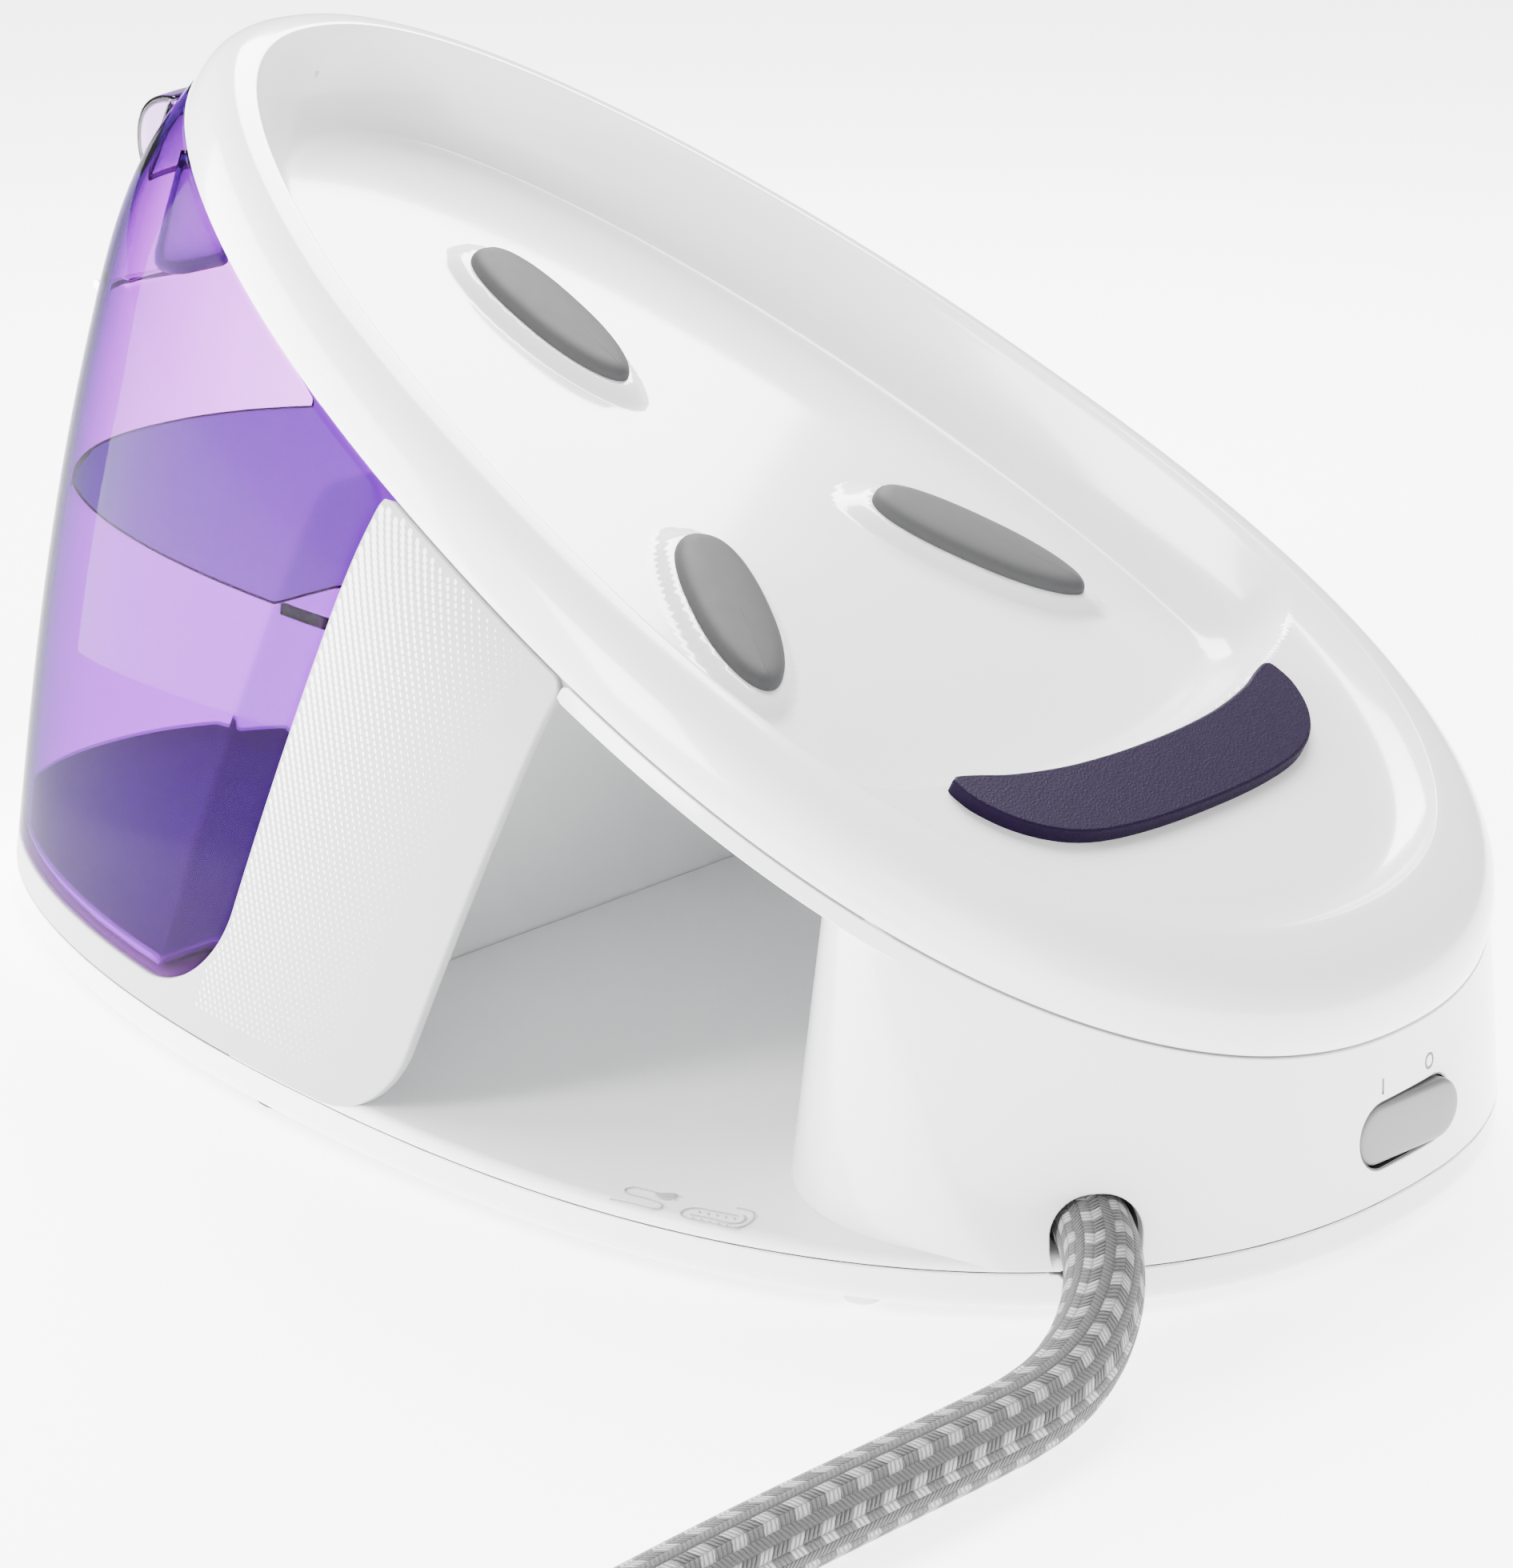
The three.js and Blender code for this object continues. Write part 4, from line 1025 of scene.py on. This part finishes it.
def tank_solid(name, levels, inset, shader, back_off, hollow=0.0):
    """A closed solid filling the tank's inside between levels, each a height and an extra inset."""
    rings = []
    for z, extra in levels:
        curve = tank_ring(z, inset + extra, back_off + extra)
        ends = np.linspace(curve[-1], curve[0], 62)[1:-1]
        off = np.hypot(ends[:, 1] - OUTLET[0], ends[:, 2] - OUTLET[1])
        ends[:, 0] -= hollow * np.clip(1.9 - off / 7.0, 0, 1)
        rings.append(np.vstack([curve, ends]))
    rings = np.array(rings)[:, ::-1]
    count = rings.shape[1]
    faces = capped_faces(len(rings), count)
    made = mesh_object(name, rings, faces, shader, "tank")
    for face in (-1, -2):
        made.data.polygons[len(faces) + face].use_smooth = False


tank_solid("tank_floor", [(TANK_FLOOR + 0.2, 1.6), (TANK_FLOOR + 0.8, 0.5), (TANK_FLOOR + 2.0, 0.0),
                          (TANK_FLOOR + 2.4, 0.2)], SKIN + 0.15, FLOOR_TINT, back_off=1.2)
tank_solid("tank_water", [(TANK_FLOOR + 3.2, 0.0)] + [(z, 0.0) for z in np.linspace(24, WATER_LEVEL, 24)],
           SKIN + 0.5, WATER, back_off=1.6, hollow=8.0)

panel("tank_rib_wall", plane_surface((rib(0), 0, 0), (0, 1, 0), (RIB_LEAN, 0, 1)),
      np.arange(-110, 110.1, 2.5), np.arange(14, 160, 2.5),
      lambda P: least(half_width(P) - SKIN - 0.2 - np.abs(P[:, 1]), below_cover(P) - 10.5,
                      P[:, 2] - TANK_FLOOR - 0.6, np.hypot(P[:, 1] - OUTLET[0], P[:, 2] - OUTLET[1]) - 5.4),
      TANK, 0.5, 1.8, body="tank")


def floor_rings():
    """Broken rings moulded on the tank's floor."""
    points, faces = [], []
    middle = np.array([-82.0, -2.0])
    for k, radius in enumerate([2.6, 5.2, 7.8, 10.4]):
        parts = 5 + 2 * k
        for part in range(parts):
            a0 = 2 * math.pi * (part + 0.5 * (k % 2)) / parts
            a = np.linspace(a0, a0 + 2 * math.pi / parts * 0.8, 9)
            start = len(points)
            for angle in a:
                d = np.array([math.cos(angle), math.sin(angle)])
                for aside, z in [(-0.5, 0.0), (-0.25, 0.5), (0.25, 0.5), (0.5, 0.0)]:
                    points.append((*(middle + d * (radius + aside)), TANK_FLOOR + 2.35 + z))
            for m in range(len(a) - 1):
                for n in range(3):
                    i = start + 4 * m + n
                    faces.append((i, i + 4, i + 5, i + 1))
    mesh_object("tank_floor_rings", points, faces, GRIP, "tank")


floor_rings()


def bubbles():
    points, faces = [], []
    t, h = find_wall(np.array([-62.0, -59.5, -55.0, -48.5, -44.8]), WATER_LEVEL, -1.0, 0, SKIN + 1.6)
    centres = wall_points(t, h, SKIN + 1.6)
    for centre, radius in zip(centres, [1.2, 1.3, 2.6, 2.4, 1.1]):
        start = len(points)
        for lat in np.linspace(-math.pi / 2, math.pi / 2, 11):
            for lon in circle(18):
                points.append(centre + radius * np.array([
                    math.cos(lat) * math.cos(lon), 0.6 * math.cos(lat) * math.sin(lon), 0.8 * math.sin(lat)]))
        faces += [tuple(start + i for i in f) for f in grid_faces(11, 18, True)]
    mesh_object("tank_bubbles", points, faces, WATER, "tank")


bubbles()


def water_ledge():
    """A small moulded ledge on the inside of the skin, in front of the rib, at the water's level."""
    x = np.linspace(rib(WATER_LEVEL) + 1.0, tank_edge(WATER_LEVEL) - 2.5, 16)
    points = []
    for z, inset in [(98.6, 0.1), (98.8, 1.6), (100.6, 1.9), (100.9, 0.1)]:
        t, h = find_wall(x, z, -1.0, 0, SKIN)
        points.append(wall_points(t, h, SKIN + inset))
    count = len(x)
    faces = list(grid_faces(4, count, False))
    faces += [(3 * count + k, 3 * count + k + 1, k + 1, k) for k in range(count - 1)]
    faces.append((0, count, 2 * count, 3 * count))
    faces.append((4 * count - 1, 3 * count - 1, 2 * count - 1, count - 1))
    mesh_object("tank_ledge", points, faces, TANK, "tank")


water_ledge()


def water_line():
    """A round line drawn along the water's edge."""
    curve = tank_ring(WATER_LEVEL, SKIN + 0.75, 1.9)
    path = np.vstack([curve, np.linspace(curve[-1], curve[0], 26)[1:-1]])
    ahead = unit(np.roll(path, -1, 0) - np.roll(path, 1, 0))
    side = unit(np.cross(ahead, np.array([0.0, 0.3, 1.0])))
    high = np.cross(side, ahead)
    c, s = (f(circle(8))[:, None] for f in (np.cos, np.sin))
    rings = path[:, None] + 0.3 * (c * side[:, None] + s * high[:, None])
    rings = np.concatenate([rings, rings[:1]])
    mesh_object("tank_waterline", rings, grid_faces(len(rings), 8, True), TANK, "tank")


water_line()


# ------------------------------------------------------------------ lid, grip and the hollow behind it
def bezier(a, b, c, count=10):
    f = np.linspace(0, 1, count)[:, None]
    a, b, c = (np.array(p, float) for p in (a, b, c))
    return (1 - f) ** 2 * a + 2 * f * (1 - f) * b + f * f * c


def grip_profile():
    """The curled grip's section at the middle, as X and Z."""
    parts = [bezier((-136.4, 161.2), (-140.2, 165.4), (-139.4, 172.2)),
             bezier((-139.4, 172.2), (-138.0, 180.6), (-126.9, 180.4)),
             bezier((-126.9, 180.4), (-126.0, 179.6), (-127.4, 177.2), 5),
             bezier((-127.4, 177.2), (-131, 169), (-136.4, 161.2), 5)]
    return even_points(np.vstack([p[:-1] for p in parts]), 84, closed=True)[0]


def shrink(loop, inset):
    side = np.roll(loop, -1, 0) - np.roll(loop, 1, 0)
    inward = unit(np.stack([side[:, 1], -side[:, 0]], -1))
    return loop + inward * inset


def lid_grip():
    profile = grip_profile()
    count = len(profile)
    points, faces = [], []

    def shell(half, inset, steps, outward):
        start = len(points)
        rings = [(-half + y, inset + i) for y, i in steps]
        rings += [(y, inset) for y in np.linspace(-half + 3, half - 3, 13)]
        rings += [(half - y, inset + i) for y, i in reversed(steps)]
        for y, i in rings:
            ring = shrink(profile, i)
            points.extend((p[0] + y * y / 78, y, p[1]) for p in ring)
        for face in capped_faces(len(rings), count):
            face = tuple(start + int(i) for i in face)
            faces.append(face if outward else face[::-1])

    shell(24.0, 0.0, [(0.0, 1.0), (0.25, 0.45), (0.6, 0.15), (1.1, 0.0)], True)
    shell(23.0, 1.3, [(0.0, 0.5), (0.4, 0.15), (0.9, 0.0)], False)
    mesh_object("lid_grip", points, faces, GRIP, "filler_lid")


lid_grip()
panel("lid_plate", wall, np.linspace(math.pi * 0.85, math.pi * 1.15, 61), np.linspace(0.55, 1.0, 40),
      lambda P: np.minimum(in_lid(P), below_cover(P) - 0.8), TANK, 0.7, 2.2, body="filler_lid",
      replaces=["tank_filler_lid"])


def finger_pocket():
    """The hollow under the grip: a tapered cup hanging inside the tank behind the lid."""
    def ring(z, grow):
        k = (z - 141.0) / 34.0
        half = 19.5 + 3.5 * k + grow
        c, s = np.cos(circle(96)), np.sin(circle(96))
        y = half * np.sign(s) * np.abs(s) ** 0.6
        x = -134.5 + 18.0 * k + (8.5 + 1.5 * k + grow) * np.sign(c) * np.abs(c) ** 0.6 + y * y / 85
        return np.stack([x, y, np.full(96, z)], -1)

    outer = [(139.5, -6.0), (139.7, -3.8), (140.5, -1.9), (142.0, -0.6), (144.5, 0.0), (152, 0), (162, 0),
             (172, 0)]
    inner = [(172.2, -1.5), (162, -1.5), (152, -1.5), (145.5, -1.7), (143.4, -2.3), (142.0, -3.8),
             (141.4, -6.5)]
    rings = np.array([ring(z, grow) for z, grow in outer + inner])
    mesh_object("tank_finger_pocket", rings, capped_faces(len(rings), 96), POCKET, "tank")


finger_pocket()


# ------------------------------------------------------------------ the housing round the tank
def in_seat_floor(P):
    return np.minimum(in_outline(BASE, 2.5)(P), tank_edge(P[:, 2]) + 8 - P[:, 0])


panel("tank_seat_floor", plane_surface((0, 0, TANK_FLOOR - 0.6), (1, 0, 0), (0, 1, 0)),
      np.arange(-184, -20, 3.0), np.arange(-108, 108.1, 3.0), in_seat_floor, SATIN, 0.4, 2.0, back=False)
panel("tank_seat_wall", plane_surface((tank_edge(0) + 1.6, 0, 0), (0, -1, 0), (TANK_LEAN, 0, 1)),
      np.arange(-110, 110.1, 2.5), np.arange(12, 150, 2.5),
      lambda P: np.minimum(np.minimum(half_width(P) - 1.0 - np.abs(P[:, 1]), below_cover(P) - 9.5),
                           P[:, 2] - TANK_FLOOR + 1), SATIN, 0.4, 2.0, back=False)


# ------------------------------------------------------------------ printed leaves on the rear housing
def printed_leaves():
    angle = circle(10)
    tilt = math.radians(20)
    shape = np.stack([0.75 * np.cos(angle), 1.15 * np.sin(angle)], -1)
    shape[:, 0] *= 1 - 0.35 * np.abs(np.sin(angle)) ** 3
    shape = shape @ np.array([[math.cos(tilt), math.sin(tilt)], [-math.sin(tilt), math.cos(tilt)]])
    centres = []
    for j in range(90):
        z = 17.0 + 1.3 * j
        low, high = tank_edge(z), panel_edge(z)
        for i in range(int((high - low + 4) / 1.9)):
            centres.append((low - 2 + 1.9 * i + 0.95 * (j % 2), z))
    centres = np.array(centres)
    points, faces, normals = [], [], []
    for side in (-1, 1):
        t, h = find_wall(centres[:, 0], centres[:, 1], side)
        P, N = wall(t, h)
        keep = (P[:, 0] < 60) & (in_rear_part(P) > 2.2) & (in_tank(P) < -1.6) & (below_cover(P) > 1.6)
        away = P[:, 0] - tank_edge(P[:, 2])
        scale = np.clip(1 - 0.0165 * away, 0, 1) * (0.45 + 0.55 * np.clip((P[:, 2] - 20) / 95, 0, 1))
        keep &= scale > 0.14
        for p, n, size in zip(P[keep], N[keep], scale[keep]):
            upward = unit(np.array([0.0, 0.0, 1.0]) - n * n[2])
            sideways = np.cross(upward, n)
            start = len(points)
            points.append(p + n * 0.12)
            normals.append(n)
            for a, b in shape * size:
                points.append(p + n * 0.03 + sideways * a * -side + upward * b)
                normals.append(n)
            for k in range(10):
                tri = (start, start + 1 + k, start + 1 + (k + 1) % 10)
                faces.append(tri[::-1] if side > 0 else tri)
    mesh_object("printed_leaves", points, faces, DOTS, "base", normals)


printed_leaves()


# ------------------------------------------------------------------ marks: raised or printed lines
def ribbon(path, width, height, normal, store):
    """Adds a line of raised strip along a path to a list of points and a list of faces."""
    points, faces = store
    path = np.array(path, float)
    along = unit(np.gradient(path, axis=0))
    across = unit(np.cross(normal, along))
    start = len(points)
    profile = [(-0.5, 0.0), (-0.38, 0.8), (0.0, 1.0), (0.38, 0.8), (0.5, 0.0)]
    for p, a in zip(path, across):
        points.extend(p + a * width * s + normal * height * h for s, h in profile)
    for m in range(len(path) - 1):
        for n in range(4):
            i = start + 5 * m + n
            faces.append((i, i + 1, i + 6, i + 5))
    for end, order in ((start, 1), (start + 5 * (len(path) - 1), -1)):
        faces.append(tuple(end + k for k in range(5))[::order])


def through(corners, spacing=0.35):
    """A smooth open curve through plan points."""
    return spline(np.column_stack([corners, np.zeros(len(corners))]), spacing)[0]


def bay_symbols():
    """The two storing symbols: a cord with its plug, and a wound hose."""
    up_axis = np.array([0.0, 0.0, 1.0])
    base = np.array([0.0, 0.0, BAY_TOP])
    store = ([], [])
    cord = [(80.3, -103.4), (84.8, -102.2), (88.6, -101.4), (89.7, -100.3), (88.7, -99.0), (84.8, -99.0),
            (80.9, -99.6), (79.4, -98.4), (80.0, -96.8), (82.3, -96.3), (84.9, -95.8)]
    outer = [(102.2, -93.6), (97.9, -94.9), (94.4, -96.1), (93.4, -97.8), (94.0, -99.7), (95.6, -100.4),
             (100.0, -99.3), (104.6, -98.1), (105.7, -96.6), (105.7, -94.4), (104.6, -91.9), (102.9, -90.6),
             (99.8, -91.1)]
    inner = [(95.6, -98.7), (99.3, -97.7), (103.4, -96.8), (104.5, -95.4), (103.8, -93.4), (102.9, -92.8)]
    for path in (cord, outer, inner):
        ribbon(through(path) + base, 0.45, 0.25, up_axis, store)
    for prong in ([(87.9, -94.6), (89.2, -94.1)], [(88.2, -96.2), (89.6, -95.8)]):
        ribbon(through(prong, 0.3) + base, 0.35, 0.25, up_axis, store)
    for start, step, count in [((95.6, -96.6), (1.65, 0.5), 5), ((96.6, -99.4), (1.65, 0.42), 6)]:
        for k in range(count):
            p = np.array([start[0] + step[0] * k, start[1] + step[1] * k])
            ribbon(through([p, p + (0.7, -0.45)], 0.25) + base, 0.35, 0.2, up_axis, store)
    # The plug's body, a low domed shape.
    body = closed_spline([(84.7, -96.4), (85.6, -95.2), (87.0, -94.0), (88.3, -94.0), (88.9, -95.6),
                          (88.3, -97.0), (86.8, -97.4), (85.5, -97.0)][::-1], 40)
    points, faces = store
    start = len(points)
    centre = body.mean(0)
    for scale, z in [(1.0, 0.0), (0.93, 0.2), (0.7, 0.28)]:
        points.extend(np.array([*(centre + (p - centre) * scale), BAY_TOP + z]) for p in body)
    for row in range(2):
        for k in range(40):
            a, b = start + 40 * row + k, start + 40 * row + (k + 1) % 40
            faces.append((a, b, b + 40, a + 40))
    faces.append(tuple(start + 80 + k for k in range(40)))
    # The symbols' grey colour is painted shade: the raised lines are white, and the grey stands in for the
    # shade along them.
    mesh_object("bay_symbols", points, faces, SYMBOL_PAINTED_SHADE, "base")


def switch_marks():
    store = ([], [])
    normal = np.array([1.0, 0.0, 0.05])

    def on_wall(ys, zs):
        t, h = find_wall(np.array(ys), np.array(zs), 1.0, 1)
        return wall_points(t, h)

    bar = on_wall([-7.1, -7.1, -7.1, -7.1], [30.9, 31.9, 32.9, 33.9])
    ribbon(bar, 0.6, 0.06, normal, store)
    a = np.linspace(0, 2 * math.pi, 33)
    ribbon(on_wall(8.2 + 1.3 * np.cos(a), 32.7 + 1.35 * np.sin(a)), 0.6, 0.06, normal, store)
    mesh_object("switch_marks", *store, MARK, "base")


# ------------------------------------------------------------------ switch
def switch_rocker():
    """The rocker's cap, drawn flat in the opening and then turned about the hinge."""
    pivot_x, face_x, half_height = 177.5, 180.7, 5.9
    count = 96
    c, s = np.cos(circle(count)), np.sin(circle(count))
    plan = np.stack([half_height * c + np.sign(c) * SWITCH_STRAIGHT + SWITCH_Y, half_height * s], -1)
    rings = []
    for inset, depth in [(0, -4.0), (0, -1.1), (0.15, -0.55), (0.5, -0.18), (1.0, 0.0), (2.0, 0.12),
                         (4.5, 0.2)]:
        ring = plan - unit(np.stack([c, s], -1)) * inset
        rings.append(np.stack([np.full(count, depth), ring[:, 0], ring[:, 1]], -1))
    rings = np.array(rings)
    turn = math.radians(-5.5)
    rings[..., 0] += face_x - pivot_x
    x = rings[..., 0] * math.cos(turn) - rings[..., 1] * math.sin(turn) + pivot_x
    y = rings[..., 0] * math.sin(turn) + rings[..., 1] * math.cos(turn)
    rings = np.stack([x, y, rings[..., 2] + SWITCH_Z], -1)
    faces = list(grid_faces(len(rings), count, True))
    start = (len(rings) - 1) * count
    faces.append(tuple(range(start, start + count)))
    made = mesh_object("rocker_cap", rings, faces, ROCKER, "rocker", soft_grid(rings))
    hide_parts("power_rocker")


switch_rocker()


def switch_liner_painted_shade():
    """The black edge of the switch inside the opening, just under the wall's surface. It is partly real, as
    the switch's housing is black, and partly painted shade: it covers the opening's white walls so that the
    gap looks shaded.
    """
    count = 96
    c, s = np.cos(circle(count)), np.sin(circle(count))

    def ring(radius, x=None):
        y, z = radius * c + np.sign(c) * SWITCH_STRAIGHT + SWITCH_Y, radius * s + SWITCH_Z
        if x is not None:
            return np.stack([np.full(count, x), y, z], -1)
        t, h = find_wall(y, z, 1.0, 1)
        return wall_points(t, h) - (0.25, 0, 0)

    outer, inner, back = 6.47, 6.2, 172.5
    rings = [ring(outer), ring(inner), ring(inner, back), ring(outer, back), ring(outer)]
    mesh_object("switch_liner_painted_shade", rings, grid_faces(5, count, True), BLACK, smooth=False)


switch_liner_painted_shade()

# ------------------------------------------------------------------ hose
HOSE_ROUTE = [
    (156, -61.4, 16.4), (159, -64, 16.3), (166.5, -71.8, 15.1), (172.6, -80.7, 12.7), (177, -90.6, 10),
    (179.6, -101.1, 8.1), (180.4, -111.9, 7.3), (180, -123, 7.2), (178.8, -140, 7.2), (177.4, -160, 7.2),
    (176.2, -183, 7.2), (175.6, -215, 7.2), (175.4, -260, 7.2), (175.4, -310, 7.2), (175.5, -369, 7.2),
]
COIL = (81.5, -424.0)
COIL_TURNS = 2.25
COIL_RADIUS = 94.0
HOSE_DIAMETER = 14.0
HOSE_REST = 7.2
TAIL_HEIGHT = 23.0
CONNECTOR_X = 62.4
CLIMB = math.radians(62)  # part of the last turn in which the hose rises to its connector


def hose_line():
    points = [np.array(p, float) for p in HOSE_ROUTE]
    points.append(np.array([175.5, -400, HOSE_REST]))
    last = COIL_TURNS * 2 * math.pi
    for angle in np.linspace(0, last, 46):
        radius = COIL_RADIUS - (HOSE_DIAMETER + 0.2) * angle / (2 * math.pi)
        rise = max(0.0, (angle - last + CLIMB) / CLIMB)
        z = HOSE_REST + (TAIL_HEIGHT - HOSE_REST) * rise * rise * (3 - 2 * rise)
        points.append(np.array([COIL[0] + radius * math.cos(angle), COIL[1] - radius * math.sin(angle), z]))
    points.append(np.array([CONNECTOR_X, -486.0, TAIL_HEIGHT]))
    return np.array(points)


def spline(points, spacing):
    """Even points along a Catmull-Rom curve through the given ones."""
    p = np.vstack([2 * points[0] - points[1], points, 2 * points[-1] - points[-2]])
    dense = []
    for i in range(1, len(p) - 2):
        f = np.linspace(0, 1, 24, endpoint=False)[:, None]
        a, b, c, d = p[i - 1:i + 3]
        ta = np.linalg.norm(b - a) ** 0.5
        tb = ta + np.linalg.norm(c - b) ** 0.5
        tc = tb + np.linalg.norm(d - c) ** 0.5
        t = ta + (tb - ta) * f
        a1 = (ta - t) / ta * a + t / ta * b
        a2 = (tb - t) / (tb - ta) * b + (t - ta) / (tb - ta) * c
        a3 = (tc - t) / (tc - tb) * c + (t - tb) / (tc - tb) * d
        b1 = (tb - t) / tb * a1 + t / tb * a2
        b2 = (tc - t) / (tc - ta) * a2 + (t - ta) / (tc - ta) * a3
        dense.append((tb - t) / (tb - ta) * b1 + (t - ta) / (tb - ta) * b2)
    line = np.vstack(dense + [points[-1:]])
    return even_points(line, spacing=spacing)


HOSE = woven("hose_sleeve")
WALES = 24  # round the hose
STROKE = 0.98  # length of one stroke


def steam_hose():
    line, length = spline(hose_line(), 1.6)
    sides = 72
    tangent = unit(np.gradient(line, axis=0))
    side = unit(np.array([0.0, 0.0, 1.0]) - tangent * tangent[:, 2:3])
    other = np.cross(tangent, side)
    radius = HOSE_DIAMETER / 2
    c, s = (f(circle(sides))[None, :, None] for f in (np.cos, np.sin))
    ring = radius * (c * side[:, None] + s * other[:, None])
    faces = grid_faces(len(line), sides, True)
    made = mesh_object("hose_braid", line[:, None] + ring, faces, HOSE, "base", unit(ring))
    layer = made.data.uv_layers.new(name="weave")
    rows = np.repeat(np.arange(len(line)), sides)
    columns = np.tile(np.arange(sides), len(line))
    u = rows[faces] * (length / (len(line) - 1)) / STROKE
    v = columns[faces] / sides * WALES
    v = np.where((v == 0) & (columns[faces].max(1, keepdims=True) == sides - 1), float(WALES), v)
    layer.data.foreach_set("uv", np.stack([u, v], -1).reshape(-1))
    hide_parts("steam_hose", "steam_hose_coil", "steam_hose_tail")


steam_hose()

bay_symbols()
switch_marks()

# ------------------------------------------------------------------ materials of the CAD nodes that stay
LOOKS = {
    WHITE: ["base_tray", "tank_socket", "mains_cord_gland"],
    RUBBER: ["foot_1", "foot_2", "foot_3", "foot_4", "foot_5", "pump_mount", "tank_outlet_seal",
             "hose_strain_relief"],
    STEEL: ["tank_lid_pin", "valve_spring", "boiler_bracket", "hose_coupling"],
    BLACK: ["tank_outlet_valve", "switch_housing", "water_pump", "steam_valve", "boiler_thermostat",
            "terminal_block", "hose_connector"],
    CAST: ["boiler"],
    BOARD: ["control_board"],
    CLEAR_TUBE: ["suction_tube", "feed_tube", "boiler_outlet_tube", "valve_outlet_tube"],
}
for shader, names in LOOKS.items():
    for name in names:
        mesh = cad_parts[name].data
        mesh.materials.clear()
        mesh.materials.append(shader.material)

# ------------------------------------------------------------------ stage
world = bpy.data.worlds.new("studio")
world.use_nodes = True
background = world.node_tree.nodes["Background"]
background.inputs["Color"].default_value = (1, 1, 1, 1)
background.inputs["Strength"].default_value = 0.85
bpy.context.scene.world = world

floor_shader = Shader("studio_floor").set(Roughness=0.9)
floor_shader.feed(Base_Color=floor_shader.mottle(floor_shader.noise(3.0), (0.93,) * 3, (0.95,) * 3))
floor_shader.set(Emission_Color=(1, 1, 1, 1), Emission_Strength=4.0)
size = 30000.0  # the floor reaches past the horizon
floor = mesh_object("studio_floor", [(-size, -size, 0), (size, -size, 0), (size, size, 0), (-size, size, 0)],
                    [(0, 1, 2, 3)], floor_shader, body=None)


def area_light(name, place, target, size, power):
    data = bpy.data.lights.new(name, "AREA")
    data.shape = "RECTANGLE"
    data.size, data.size_y = size
    data.energy = power
    made = bpy.data.objects.new(name, data)
    bpy.context.collection.objects.link(made)
    made.location = place
    aim = Vector(target) - Vector(place)
    made.rotation_euler = aim.to_track_quat("-Z", "Y").to_euler()


area_light("top_box", (-0.35, 0.45, 1.0), (0, 0, 0.1), (0.7, 0.7), 50.0)
# A box close by on the left: its far edge is the line reflected in the tank.
area_light("left_box", (-0.26, -0.21, 0.16), (0.5, -0.21, 0.16), (0.3, 0.24), 3.6)
area_light("front_fill", (1.0, -1.3, 0.5), (0.03, 0, 0.06), (0.8, 0.8), 8.0)
area_light("bay_box", (-0.3, -1.1, 0.55), (0.04, 0, 0.03), (0.35, 0.6), 24.0)
